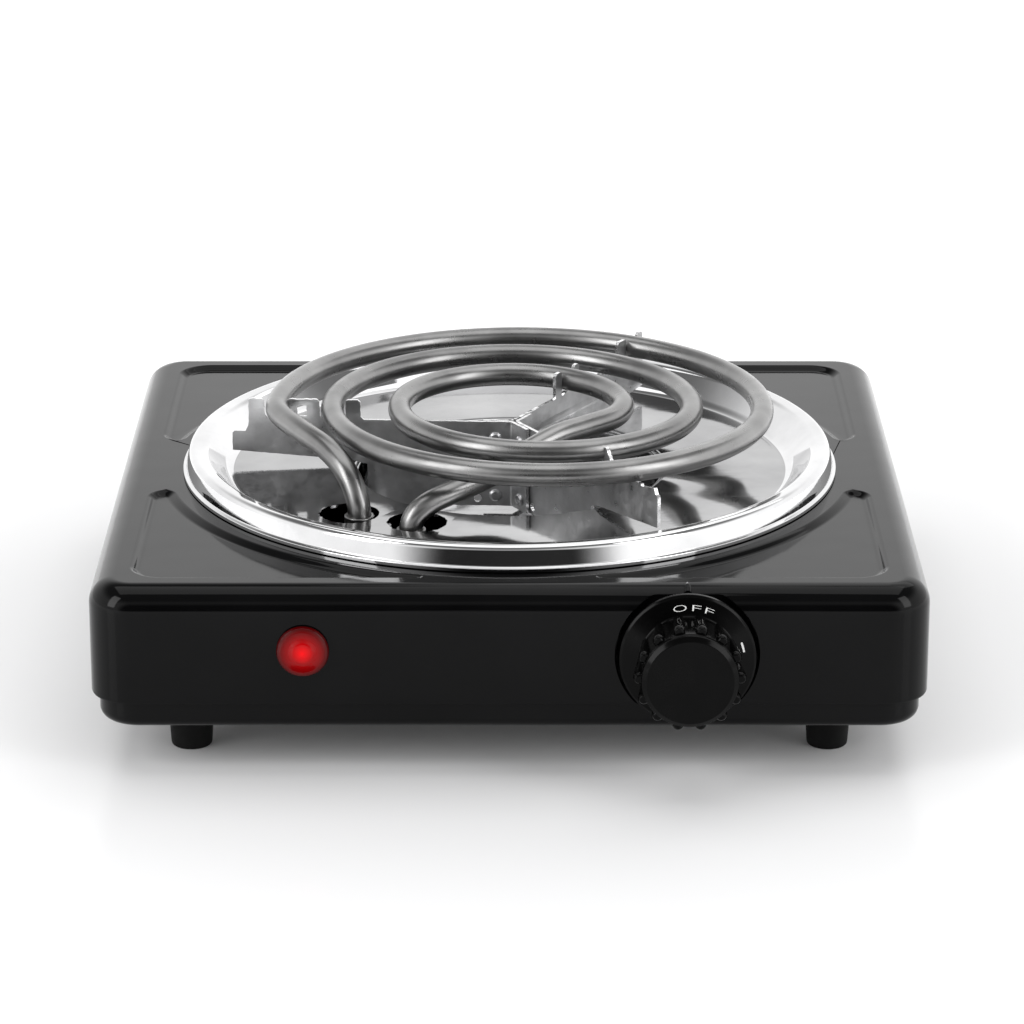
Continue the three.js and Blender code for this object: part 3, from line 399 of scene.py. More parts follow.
finishes = {
    "enamel": {"dark": (0.0012, 0.0012, 0.0013), "light": (0.0028, 0.0028, 0.003), "rough": (0.05, 0.11),
               "specular": 0.13, "cloud": 25, "patch": 60, "grain": 500, "bump": 0.12,
               "bumpHeight": 0.000012, "wave": (55, 0.00006)},
    # the shelf is a darker copy of the chrome: painted shade for its dimmer reflection, with a stronger wave of its
    # own
    "shelf": {"metal": 1, "dark": (0.24, 0.24, 0.243), "light": (0.38, 0.38, 0.383), "rough": (0.04, 0.09),
              "cloud": 26, "patch": 90, "grain": 700, "bump": 0.1, "wave": (26, 0.0011),
              "scratch": (60, 900, 60), "scratchRough": 0.05, "scratchDepth": 0.3},
    "chrome": {"metal": 1, "dark": (0.54, 0.54, 0.545), "light": (0.7, 0.7, 0.705), "rough": (0.03, 0.07),
               "cloud": 30, "patch": 90, "grain": 700, "bump": 0.1, "wave": (30, 0.0001),
               "scratch": (60, 900, 60), "scratchRough": 0.05, "scratchDepth": 0.3},
    "sheath": {"metal": 1, "dark": (0.17, 0.169, 0.168), "light": (0.29, 0.288, 0.286), "rough": (0.25, 0.34),
               "cloud": 45, "patch": 120, "grain": 1400, "bump": 0.05, "bumpHeight": 0.00002},
    "strip": {"metal": 1, "dark": (0.46, 0.462, 0.465), "light": (0.66, 0.66, 0.665), "rough": (0.28, 0.44),
              "cloud": 120, "patch": 220, "grain": 1600, "bump": 0.3, "spangle": 420,
              "scratch": (200, 200, 2400), "scratchTurn": (0.5, 0, 0), "scratchRough": 0.1},
    "sheared": {"metal": 1, "dark": (0.62, 0.62, 0.625), "light": (0.9, 0.9, 0.905), "rough": (0.18, 0.34),
                "cloud": 500, "patch": 700, "grain": 2600, "bump": 0.6, "bumpHeight": 0.00006},
    "zinc": {"metal": 1, "dark": (0.42, 0.42, 0.43), "light": (0.6, 0.6, 0.61), "rough": (0.24, 0.38),
             "cloud": 150, "patch": 300, "grain": 1500, "bump": 0.2, "spangle": 500},
    "knobBlack": {"dark": (0.001, 0.001, 0.001), "light": (0.0025, 0.0025, 0.0025), "rough": (0.1, 0.17),
                  "specular": 0.08, "cloud": 60, "patch": 260, "grain": 2600, "bump": 0.12},
    "markWhite": {"dark": (0.72, 0.72, 0.7), "light": (0.85, 0.85, 0.84), "rough": (0.4, 0.55),
                  "grain": 3000},
    "rubber": {"dark": (0.002, 0.002, 0.002), "light": (0.006, 0.006, 0.006), "rough": (0.55, 0.75),
               "specular": 0.15, "grain": 2200, "bump": 0.5, "bumpHeight": 0.00005},
    "nylon": {"dark": (0.66, 0.64, 0.58), "light": (0.78, 0.76, 0.7), "rough": (0.4, 0.55), "grain": 1600},
    "ceramic": {"dark": (0.7, 0.67, 0.6), "light": (0.82, 0.8, 0.74), "rough": (0.5, 0.7), "grain": 2400,
                "bump": 0.35},
    "brass": {"metal": 1, "dark": (0.45, 0.31, 0.13), "light": (0.62, 0.46, 0.21), "rough": (0.22, 0.36),
              "grain": 1600, "scratch": (300, 300, 2000)},
    "glandBlack": {"dark": (0.012, 0.012, 0.012), "light": (0.024, 0.024, 0.024), "rough": (0.35, 0.5),
                   "grain": 1800, "bump": 0.3},
    "brownCover": {"dark": (0.08, 0.032, 0.014), "light": (0.14, 0.06, 0.026), "rough": (0.4, 0.55)},
    "blueCover": {"dark": (0.012, 0.055, 0.22), "light": (0.026, 0.095, 0.34), "rough": (0.4, 0.55)},
    "greenCover": {"dark": (0.09, 0.2, 0.012), "light": (0.36, 0.36, 0.02), "rough": (0.4, 0.55),
                   "cloud": 220},
}
coats = {name: newFinish(name, look) for name, look in finishes.items()}


glow = {"specular": 0.1, "coat": 0.15, "coatRough": 0.04, "grain": 700, "rough": (0.08, 0.22),
        "middle": 0.45, "innerShare": 0.35}


def glowingFinish(name, centre, inner, outer, reach, strength):
    # clear coloured plastic or glass with a lit middle, measured from the lamp's axis
    mat, tree, shader, spot = newMaterial(name)
    shift = addNode(tree, "ShaderNodeVectorMath", {0: spot, 1: centre}, operation="SUBTRACT")
    flat = addNode(tree, "ShaderNodeVectorMath", {0: shift.outputs[0], 1: (1, 0, 1)}, operation="MULTIPLY")
    span = addNode(tree, "ShaderNodeVectorMath", {0: flat.outputs[0]}, operation="LENGTH")
    fade = ranged(tree, span.outputs["Value"], (0, reach), (0, 1))
    ramp = addNode(tree, "ShaderNodeValToRGB", {"Fac": fade})
    ramp.color_ramp.elements[0].color = (*inner, 1)
    ramp.color_ramp.elements[1].color = (*outer, 1)
    share = glow["innerShare"]
    ramp.color_ramp.elements.new(glow["middle"]).color = (
        *[share * a + (1 - share) * b for a, b in zip(inner, outer)], 1)
    grain = addNode(tree, "ShaderNodeTexNoise", {"Scale": glow["grain"], "Vector": spot})
    fill(tree, shader, {
        "Specular IOR Level": glow["specular"], "Coat Weight": glow["coat"],
        "Coat Roughness": glow["coatRough"], "Emission Strength": strength,
        "Base Color": ramp.outputs["Color"], "Emission Color": ramp.outputs["Color"],
        "Roughness": ranged(tree, grain.outputs["Fac"], (0, 1), glow["rough"])})
    return mat


lampCentre = tuple(sum(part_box("lamp_lens"), Vector()) / 2)
glows = {  # colour in the middle, colour at the edge, reach in metres, strength
    "lensRed": ((0.62, 0.001, 0.003), (0.04, 0.0002, 0.0004), 0.0066, 0.5),
    "bulbGlass": ((1.0, 0.32, 0.1), (0.8, 0.12, 0.05), 0.003, 1.5),
}
for glowName, values in glows.items():
    coats[glowName] = glowingFinish(glowName, lampCentre, *values)
print("finishes ready:", len(coats))


# Upper shell.

shell = {
    "top": 53.5, "corner": 12, "edge": 7, "sheet": 1.2, "lip": 0.9,
    "panelMargin": 11, "panelRing": 98.5, "panelCorner": 9, "panelInner": 6,
    "panelNose": 4.5, "panelTip": 0.5, "leastRadius": 0.12, "panelGap": 0.4,
    "panelStart": {1: 21.5, -1: 24},  # back and front panels begin this far from the middle
    "panelSteps": [(-0.9, -0.03), (-0.55, 0.02), (-0.2, 0.1), (0.2, 0.3),
                   (0.75, 0.7), (1.3, 1.1), (1.75, 1.27), (2.3, 1.33)],  # inset and depth down the wall
    "plateHole": 84.2, "pocketRadius": 19, "pocketDepth": 2.4,
    "frontHoles": [("knob", 0, 4), ("knob", -12, 1.9), ("knob", 12, 1.9), ("lamp", 0, 5.3)], "glandHole": 5.8,
    "drop": [(0, -3.4), (0.8, -1.9, 1), (1.15, 0.8, 1), (0, 2.9)], "dropAt": (3.4, -1.35), "dropLean": 123,
}
shellLow, shellHigh = boxOf("top_housing")
shellWidth = shellHigh.x - shellLow.x
shellDepth = shellHigh.y - shellLow.y
frontY, rearY, seamZ = shellLow.y, shellHigh.y, shellLow.z
knobAt = middleOf("thermostat_shaft")
lampAt = middleOf("lamp_lens")
glandAt = middleOf("cord_gland")


def panelOutline(inset, start):
    right = shellWidth / 2 - shell["panelMargin"] - inset
    back = shellDepth / 2 - shell["panelMargin"] - inset
    ring = shell["panelRing"] + inset
    side = start + inset
    outer = shell["panelCorner"] - inset
    inner = shell["panelInner"]
    nose, tip = (max(shell[name] - inset, shell["leastRadius"]) for name in ("panelNose", "panelTip"))
    tipAt = (math.sqrt((ring + tip) ** 2 - (back - tip) ** 2), back - tip)
    noseAt = (math.sqrt((ring + nose) ** 2 - (side + nose) ** 2), side + nose)
    tipTurn = math.degrees(math.atan2(tipAt[1], tipAt[0]))
    noseTurn = math.degrees(math.atan2(noseAt[1], noseAt[0]))
    return (arc(right - inner + inset, side + inner - inset, inner - inset, -90, 0, 8)
            + arc(right - outer, back - outer, outer, 0, 90, 10)
            + arc(*tipAt, tip, 90, 180 + tipTurn, 8)
            + arc(0, 0, ring, tipTurn, noseTurn, 48)[1:-1]
            + arc(*noseAt, nose, 180 + noseTurn, 270, 8))


def panelTool(sx, sy, drop, grow):
    levels = [(panelOutline(inset - grow, shell["panelStart"][sy]), shell["top"] - depth - drop)
              for inset, depth in reversed(shell["panelSteps"])]
    levels.append((levels[-1][0], shell["top"] + 3))
    return loft("panel", [([(sx * x, sy * y) for x, y in outline], z) for outline, z in levels])


def inward(width, depth, corner, inset):
    return roundedRectangle(width - 2 * inset, depth - 2 * inset, corner - inset)


def softBoxLevels(width, depth, corner, edge, low, high, lip):
    # a small outward lip below and a quarter round above
    levels = []
    for inset, rise in ((lip, 0), (lip * 0.3, lip * 0.3), (0, lip)) if lip else ((0, 0),):
        levels.append((inward(width, depth, corner, inset), low + rise))
    for k in range(13):
        t = math.pi / 2 * k / 12
        outline = inward(width, depth, corner, edge * (1 - math.cos(t)))
        levels.append((outline, high - edge + edge * math.sin(t)))
    return levels


def rod(name, radius, start, end, centre, axis="Z", sides=48):
    return turned(name, [(0, start), (radius, start), (radius, end), (0, end)], centre, axis, sides)


def pocketTool(radius, floorY, soft):
    out, clear = radius + 1.6, frontY - 4
    return turned("pocket", softLine([
        (0, floorY), (radius, floorY, soft), (radius, frontY + 0.3, 0.4), (radius + 0.5, frontY - 0.15, 0.3),
        (out, frontY - 0.5), (out, clear), (0, clear)]), (knobAt.x, knobAt.z), "Y", 96)


def makeShell():
    sheet, top, pocket = shell["sheet"], shell["top"], shell["pocketRadius"]
    body = loft("upperShell", softBoxLevels(
        shellWidth, shellDepth, shell["corner"], shell["edge"], seamZ, top, shell["lip"]))
    hollow = loft("hollow", softBoxLevels(
        shellWidth - 2 * sheet, shellDepth - 2 * sheet, shell["corner"] - sheet, shell["edge"] - sheet,
        seamZ - 1, top - sheet, 0))
    corners = [(sx, sy) for sx in (-1, 1) for sy in (-1, 1)]
    floorY = frontY + shell["pocketDepth"]
    carve(hollow, [panelTool(sx, sy, sheet, shell["panelGap"]) for sx, sy in corners]
          + [rod("boss", pocket + sheet, frontY - 2, floorY + sheet, (knobAt.x, knobAt.z), "Y")])
    drop = turned("drop", softLine(shell["drop"], 6), sides=20)  # the raised pointer above the knob
    back, down = shell["dropAt"]
    drop.data.transform(Matrix.Translation((knobAt.x, frontY + back, top + down))
                        @ Matrix.Rotation(math.radians(shell["dropLean"]), 4, "X"))
    carve(body, [drop], "UNION")
    tools = [hollow, pocketTool(pocket, floorY, 0.8)]
    tools += [panelTool(sx, sy, 0, 0) for sx, sy in corners]
    tools.append(rod("plateHole", shell["plateHole"], top - 8, top + 2, (0, 0), sides=128))
    for spot, across, radius in shell["frontHoles"]:
        at = {"knob": knobAt, "lamp": lampAt}[spot]
        tools.append(rod("hole", radius, frontY - 1, frontY + 8, (at.x + across, at.z), "Y"))
    tools.append(rod("hole", shell["glandHole"], rearY - 8, rearY + 1, (glandAt.x, glandAt.z), "Y"))
    carve(body, tools)
    return levelTop(smoothed(outward(painted(body, coats["enamel"])), 30))


def levelTop(obj):
    # the flat top is one even mirror right up to its rounded edges
    mesh = obj.data
    normals = [Vector(corner.vector) for corner in mesh.corner_normals]
    for face in mesh.polygons:
        level = [abs(mesh.vertices[corner].co.z - shell["top"]) < 0.002 for corner in face.vertices]
        for loop, touches in zip(face.loop_indices, level):
            if all(level) or (touches and face.normal.z > 0.75):
                normals[loop] = Vector((0, 0, 1))
    mesh.normals_split_custom_set(normals)
    return obj


finishPiece(makeShell(), "root", "enamel", "top_housing")


# Base tray with its vents, and the feet.

tray = {"edge": 3.2, "sheet": 1.2, "corner": 11, "ventPitch": 9, "ventRows": 9, "ventAt": 44,
        "ventLength": 34, "ventWidth": 3.2, "notch": 21.2, "screwHole": 1.9}
trayLow, trayHigh = boxOf("base_tray")
footNames = ["front_left", "front_right", "back_right", "back_left"]
footSpots = [middleOf("foot_" + name) for name in footNames]


def panLevels(inset, low, high):
    levels = []
    for k in range(9):
        t = math.pi / 2 * k / 8
        shrink = inset + tray["edge"] * (1 - math.sin(t))
        outline = inward(trayHigh.x - trayLow.x, trayHigh.y - trayLow.y, tray["corner"], shrink)
        levels.append((outline, low + tray["edge"] * (1 - math.cos(t))))
    return levels + [(levels[-1][0], high)]


def makeTray():
    sheet = tray["sheet"]
    body = loft("baseTray", panLevels(0, trayLow.z, trayHigh.z))
    hollow = loft("hollow", panLevels(sheet, trayLow.z + sheet, trayHigh.z + 2))
    half, wide = tray["ventLength"] / 2, tray["ventWidth"] / 2
    outline = arc(half - wide, 0, wide, -90, 90, 8) + arc(wide - half, 0, wide, 90, 270, 8)
    vent = loft("vent", [(outline, -2), (outline, 3)])
    rows = [(k - (tray["ventRows"] - 1) / 2) * tray["ventPitch"] for k in range(tray["ventRows"])]
    places = [((side * tray["ventAt"], y, trayLow.z), (0, 0, 0)) for side in (-1, 1) for y in rows]
    vents = repeated("vents", vent, places, coats["enamel"])
    tools = [hollow, vents]
    for spot in footSpots + [middleOf("earth_screw")]:
        tools.append(rod("hole", tray["screwHole"], trayLow.z - 1, trayLow.z + 2, (spot.x, spot.y), sides=24))
    tools.append(block("notch", (knobAt.x - tray["notch"], frontY, seamZ - 0.3),
                       (knobAt.x + tray["notch"], frontY + 6, trayHigh.z + 1)))
    carve(body, tools)
    return smoothed(outward(painted(body, coats["enamel"])), 30)


finishPiece(makeTray(), "root", "enamel", "base_tray")

foot = {"base": 5.5, "top": 6.3, "height": 13.2, "recess": 3.7, "recessTop": 6, "hole": 1.9}


def makeFeet():
    base, top, height, recess, recessTop, hole = foot.values()
    outline = softLine([
        (recess, 0, 0.3), (base, 0, 0.7), (base + 0.2, 2.2, 0.3), (top, 11.6, 1), (top, height, 0.8),
        (hole, height), (hole, recessTop), (recess, recessTop)], 4, True)
    piece = turned("footPiece", outline, sides=48)
    piece.data.shade_smooth()
    places = [((spot.x, spot.y, 0), (0, 0, 0)) for spot in footSpots]
    return smoothed(repeated("rubberFeet", piece, places, coats["rubber"]), 40)


finishPiece(makeFeet(), "root", "foot_rubber", *["foot_" + name for name in footNames])

crossScrew = {"head": 3.0, "shank": 1.5, "seat": 5.7, "tip": 22.5, "slot": 0.4}


def makeFootScrews():
    head, shank, seat, tip, wide = crossScrew.values()
    piece = turned("screwPiece", softLine([
        (0, seat - 2.1), (1.9, seat - 2, 0.8), (head, seat - 1, 0.6), (head, seat, 0.2),
        (shank, seat), (shank, tip, 0.5), (0, tip)]), sides=32)
    carve(piece, [block("slot", (-1.9, -wide, seat - 3), (1.9, wide, seat - 1.1)),
                  block("slot", (-wide, -1.9, seat - 3), (wide, 1.9, seat - 1.1))])
    places = [((spot.x, spot.y, 0), (0, 0, 0.4 + k)) for k, spot in enumerate(footSpots)]
    return smoothed(repeated("footScrews", piece, places, coats["zinc"]), 35)


finishPiece(makeFootScrews(), "root", "zinc_steel", *["foot_screw_" + name for name in footNames])


# Chrome drip bowl.

bowl = {
    "outline": [
        (0, 39.3), (42.8, 39.3, 3), (44.2, 53, 1.5), (80.7, 53, 5), (87.2, 60.15, 3.2), (91.9, 60.75, 1.9),
        (93.0, 55.0, 0.5), (93.9, 54.75, 0.25), (93.9, 53.8),
        (93.1, 53.8), (92.2, 54.3, 0.5), (91.1, 59.9, 1.2), (87.6, 59.35, 2.6), (81.1, 52.2, 5.6),
        (43.5, 52.2, 0.9), (42.1, 38.5, 3.6), (0, 38.5)],
    "shelfReach": 79.6, "holeRadius": 8.4, "outerHole": (-2.8, 2.5), "innerHole": (1.6, 2.7), "tear": 0.45,
    "holeSides": 44, "torn": 5, "boltHole": 1.9,
}
boltAt = middleOf("hub_bolt")


def tornHole(node, offset, seed):
    # a hole punched by hand: uneven outline with a few torn corners
    at = middleOf(node)
    rand = random.Random(seed)
    count = bowl["holeSides"]
    radii = [bowl["holeRadius"] + rand.uniform(-0.5, 0.2) * bowl["tear"] for k in range(count)]
    for k in rand.sample(range(count), bowl["torn"]):
        radii[k] += bowl["tear"] * rand.uniform(0.6, 1.3)
    outline = [(at.x + offset[0] + r * math.cos(2 * math.pi * k / count),
                at.y + offset[1] + r * math.sin(2 * math.pi * k / count)) for k, r in enumerate(radii)]
    return loft("tornHole", [(outline, 50), (outline, 56)])


def makeBowl():
    body = turned("dripBowl", softLine(bowl["outline"], 12), sides=320)
    carve(body, [
        tornHole("terminal_sleeve_outer", bowl["outerHole"], 3),
        tornHole("terminal_sleeve_inner", bowl["innerHole"], 8),
        rod("hole", bowl["boltHole"], 36, 42, (boltAt.x, boltAt.y), sides=24)])
    painted(body, coats["chrome"])
    body.data.materials.append(coats["shelf"])
    for face in body.data.polygons:  # the shelf and well get a darker copy of the chrome, painted shade for their dimmer reflection; their drawn metal is also less even than the ring
        face.material_index = int(math.hypot(face.center.x, face.center.y) < bowl["shelfReach"])
    return smoothed(outward(body), 45, False)


finishPiece(makeBowl(), "root", "bowl_chrome", "drip_bowl")
print("housing and bowl done, top of bowl", round(boxOf("drip_bowl")[1].z, 2))


# Heating element.

element = {
    "tube": 3.3, "sides": 28, "steps": 7, "turnSteps": 12, "height": 70.5, "through": [48, 52.5], "below": 51,
    "crossings": [32.6, -31.6, 52.3, -50.9, 72.5, -66.8],  # where the half turns meet on the left-right line
    "innerLeg": [(1.3, 0.5, 55.8), (4.9, 2.0, 58.6), (10.9, 5.1, 60.6), (19.2, 11.3, 62.3),
                 (23.7, 14.8, 63.6), (29.7, 19.5, 66.3), (40.5, 27.9, 69.9), (48.4, 34.3, 70.5), (56.6, 42.9, 70.5)],
    "outerLeg": [(-23.6, 37.8, 70.5), (-17.0, 23.7, 70.2), (-8.9, 11.9, 68.4), (-4.2, 5.6, 64.9),
                 (-1.3, 1.9, 60), (-0.1, 0.2, 55.4)],
}
innerEnd = middleOf("terminal_sleeve_inner")
outerEnd = middleOf("terminal_sleeve_outer")


def elementRoute():
    cold = boxOf("heating_element")[0].z
    inner = [Vector((innerEnd.x + x, innerEnd.y + y, z)) for x, y, z in
             [(0, 0, z) for z in (cold, *element["through"])] + element["innerLeg"]]
    outer = [Vector((outerEnd.x + x, outerEnd.y + y, z)) for x, y, z in
             element["outerLeg"] + [(0, 0, element["below"]), (0, 0, cold)]]
    turns = []
    ends = element["crossings"]
    for start, stop in zip(ends, ends[1:]):
        middle, reach = (start + stop) / 2, (start - stop) / 2
        for k in range(element["turnSteps"]):
            t = math.pi * k / element["turnSteps"]
            turns.append(Vector((middle + reach * math.cos(t), reach * math.sin(t), element["height"])))
    turns.append(Vector((ends[-1], 0, element["height"])))
    return inner + turns + outer


def mixed(p, q, start, stop, t):
    return p * ((stop - t) / (stop - start)) + q * ((t - start) / (stop - start))


def smoothRoute(points, steps):
    # a curve through all points that keeps close to them where they are near each other
    padded = [points[0] * 2 - points[1]] + points + [points[-1] * 2 - points[-2]]
    out = []
    for a, b, c, d in zip(padded, padded[1:], padded[2:], padded[3:]):
        ta = 0
        tb = ta + math.sqrt((b - a).length)
        tc = tb + math.sqrt((c - b).length)
        td = tc + math.sqrt((d - c).length)
        for k in range(steps):
            t = tb + (tc - tb) * k / steps
            middle = mixed(b, c, tb, tc, t)
            first = mixed(mixed(a, b, ta, tb, t), middle, ta, tc, t)
            last = mixed(middle, mixed(c, d, tc, td, t), tb, td, t)
            out.append(mixed(first, last, tb, tc, t))
    return out + [points[-1]]


def makeElement():
    route = smoothRoute(elementRoute(), element["steps"])
    obj = addMesh("heatingCoil", route, [], [(k, k + 1) for k in range(len(route) - 1)])
    grown(obj, sweptTube, {
        "Tube radius": element["tube"], "Sides": element["sides"], "Finish": coats["sheath"]})
    return smoothed(outward(obj), 50)


finishPiece(makeElement(), "root", "element_sheath", "heating_element")

sleeve = {"inner": 3.7, "snug": 3.36, "outer": 4.2, "low": 48.4}


def makeSleeves():
    inner, snug, outer, low = sleeve.values()
    parts = []
    for node in ("terminal_sleeve_outer", "terminal_sleeve_inner"):
        at, high = middleOf(node), boxOf(node)[1].z
        parts.append(turned(node, softLine([
            (inner, low, 0.1), (outer, low, 0.15), (outer, high, 0.35), (snug, high, 0.05),
            (inner, high - 2)], 4, True), (at.x, at.y), sides=48))
    both = joined("legSleeves", parts)
    return smoothed(painted(both, coats["sheath"]), 40)


finishPiece(makeSleeves(), "root", "support_steel", "terminal_sleeve_outer", "terminal_sleeve_inner")


# Three folded support arms, riveted at the hub.

arms = {
    "left": {"angle": 177, "next": -59.3, "end": 81.3, "shoulder": (77.5, 62.4), "tabTop": 72.2,
             "tabs": [(72, 76.5), (56, 65.2), (44.2, 48.4)], "seats": [32.8, 52.1, 68.2],
             "window": (59.7, 62.5, 67.1, 70.3)},
    "front": {"angle": -59.3, "next": 59.5, "end": 76.6, "shoulder": (75.5, 65.9), "tabTop": 72.2,
              "tabs": [(48.9, 53.6)], "seats": [45.5, 66.05], "fin": True},
    "back": {"angle": 59.5, "next": 177, "end": 77.2, "shoulder": (77, 66.3), "tabTop": 73.7,
             "tabs": [(74.2, 76.9), (62, 66.8), (35.4, 38.2), (24.6, 28.1)], "seats": [31.7, 51.3, 70.5]},
}
strip = {"thick": 1.0, "gap": 0.3, "top": 66.3, "seat": 66.9, "low": 40.9, "wellReach": 41.5, "flange": 8.8,
         "bend": 1.6, "ragged": 0.07, "tabRagged": 2.2, "upRagged": 0.8, "pitch": 0.9, "windowPitch": 0.7,
         "rivetAt": 5.2, "rivetHole": 1.25, "holeAt": 10.4, "hole": 1.2, "heights": [44.1, 61.4], "hubX": 1.2,
         "wellStep": 0.8, "wellHeights": (42, 53), "shelfStart": (46.9, 54.1), "endLow": 56.6,
         "seatHalf": 2, "point": 0.7, "edge": 0.11}
stripOffset = (strip["thick"] + strip["gap"]) / 2


def heading(degrees):
    t = math.radians(degrees)
    return Vector((math.cos(t), math.sin(t), 0))


def leftOf(direction):
    return Vector((-direction.y, direction.x, 0))


def foldOf(arm):
    # where an arm's middle plane meets its flange's, and how far that is from the hub along each
    along, onto = heading(arm["angle"]), heading(arm["next"])
    hub = Vector((strip["hubX"], 0, 0))
    p, q = hub + leftOf(along) * stripOffset, hub - leftOf(onto) * stripOffset
    cross = along.x * onto.y - along.y * onto.x
    reach = ((q - p).x * onto.y - (q - p).y * onto.x) / cross
    corner = p + along * reach
    return corner, reach, (corner - q).dot(onto)


def foldedPoint(arm, x, v, z):
    along, onto = heading(arm["angle"]), heading(arm["next"])
    corner = foldOf(arm)[0]
    sweep = (arm["angle"] - (arm["next"] + 180) + 180) % 360 - 180
    tangent = strip["bend"] * math.tan(math.radians(abs(sweep) / 2))
    if x >= tangent:
        at = corner + along * x + leftOf(along) * v
    elif x <= -tangent:
        at = corner - onto * x - leftOf(onto) * v
    else:
        centre = corner + along * tangent + leftOf(along) * strip["bend"]
        way = heading(arm["next"] + 180 + sweep * (x + tangent) / (2 * tangent))
        at = centre - leftOf(way) * (strip["bend"] - v)
    return Vector((at.x, at.y, z))


def armOutline(arm, start, flangeEnd):
    # from the foot outwards, then back along the tabs; distances are from the hub until start shifts them
    half, end = strip["seatHalf"], arm["end"]
    tops = [(a, b, arm["tabTop"], strip["point"]) for a, b in arm["tabs"]]
    tops += [(r - half, r + half, strip["seat"], 0) for r in arm["seats"]]
    shoulderStart, shoulder = arm["shoulder"]
    top, low, well = strip["top"], strip["low"], strip["wellReach"]
    line = [(well, low), *[(well + strip["wellStep"], z) for z in strip["wellHeights"]], strip["shelfStart"],
            (end, strip["endLow"]), (end, shoulder - 0.6), (end - 0.6, shoulder), (shoulderStart, shoulder)]
    if shoulder < top:
        line.append((shoulderStart - 0.8, shoulder + 1.6))
    for a, b, z, point in sorted(tops, reverse=True):
        torn = point and a > 30  # the outer tabs keep a torn root
        if b < shoulderStart - 0.9:
            line.append((b, shoulder + 3 if a > 70 and shoulder < top else top))
        if point and arm.get("fin"):  # a pointed tab, steep on the hub side
            line += [(b, top + 0.5), (a + 1.1, z - 0.2), (a + 0.4, z), (a, z - 0.7)]
        else:
            line += [(b, z - point * 0.6), (b - point, z), (a + point, z), (a, z - point)]
        if torn:
            line += [(a - 0.1, top + 0.9), (a - 0.9, top + 0.1)]
        line.append((a - 1.2 if torn else a, top))
    line = [(flangeEnd, low), *[(x + start, z) for x, z in line], (flangeEnd, top)]
    apart = [line[0]]
    for point in line[1:]:
        if (Vector(point) - Vector(apart[-1])).length > 0.05:
            apart.append(point)
    return apart


def raggedLine(points, rand, pitch):
    # splits long edges and shakes them a little, as a blunt shear leaves them
    out = []
    for (ax, az), (bx, bz) in zip(points, points[1:] + points[:1]):
        pieces = max(1, int(math.hypot(bx - ax, bz - az) / pitch))
        for k in range(pieces):
            t = k / pieces
            shake = strip["ragged"] * (strip["tabRagged"] if min(az, bz) > strip["top"] + 0.4 else 1)
            out.append((ax + (bx - ax) * t + rand.uniform(-shake, shake) * (k > 0),
                        az + (bz - az) * t + rand.uniform(-shake, shake) * strip["upRagged"] * (k > 0)))
    return out


def makeArm(name, seed):
    arm = arms[name]
    armReach, flangeReach = foldOf(arm)[1:]
    flangeEnd = -(strip["flange"] - flangeReach)
    loops = [raggedLine(armOutline(arm, -armReach, flangeEnd), random.Random(seed), strip["pitch"])]
    rivetHole = strip["rivetHole"]
    for z in strip["heights"]:
        for at, height, radius in ((strip["holeAt"] - armReach, z - 1, strip["hole"]),
                                   (strip["rivetAt"] - armReach, z, rivetHole),
                                   (-(strip["rivetAt"] - flangeReach), z, rivetHole)):
            loops.append(arc(at, height, radius, 0, 330, 11))
    if "window" in arm:
        a, b, low, high = arm["window"]
        frameLine = [(x - armReach, z) for x, z in ((a, low), (b, low), (b, high), (a, high))]
        loops.append(raggedLine(frameLine, random.Random(seed + 5), strip["windowPitch"]))
    flat = [point for loop in loops for point in loop]
    bm = bmesh.new()
    verts = [bm.verts.new((x, 0, z)) for x, z in flat]
    for a, b, c in tessellate_polygon([[Vector((x, z, 0)) for x, z in loop] for loop in loops]):
        if len({a, b, c}) == 3:
            bm.faces.new((verts[a], verts[b], verts[c]))
    bmesh.ops.dissolve_limit(bm, angle_limit=0.01, verts=bm.verts, edges=bm.edges)
    for k in range(-5, 6):  # cuts across the fold, so that it can bend
        geometry = bm.verts[:] + bm.edges[:] + bm.faces[:]
        bmesh.ops.bisect_plane(bm, geom=geometry, plane_co=(k * 0.2, 0, 0), plane_no=(1, 0, 0))
    bmesh.ops.recalc_face_normals(bm, faces=bm.faces)
    for item in bmesh.ops.extrude_face_region(bm, geom=bm.faces[:])["geom"]:
        if isinstance(item, bmesh.types.BMVert):
            item.co.y = strip["thick"]
    bm.normal_update()
    for face in bm.faces:
        face.material_index = int(abs(face.normal.y) < 0.5)  # the sheared edges are brighter
    for vert in bm.verts:
        vert.co = foldedPoint(arm, vert.co.x, vert.co.y - strip["thick"] / 2, vert.co.z)
    bmesh.ops.recalc_face_normals(bm, faces=bm.faces)
    obj = addMesh("supportArm" + name.capitalize(), [], [])
    bm.to_mesh(obj.data)
    bm.free()
    for finish in ("strip", "sheared"):
        obj.data.materials.append(coats[finish])
    return smoothed(bevelled(obj, strip["edge"]), 35)


for seed, armName in enumerate(arms):
    finishPiece(makeArm(armName, 11 + seed), "root", "support_steel", "support_arm_" + armName)

rivet = {"shank": 1.0, "head": 1.9, "headHigh": 0.85, "eye": 0.75}


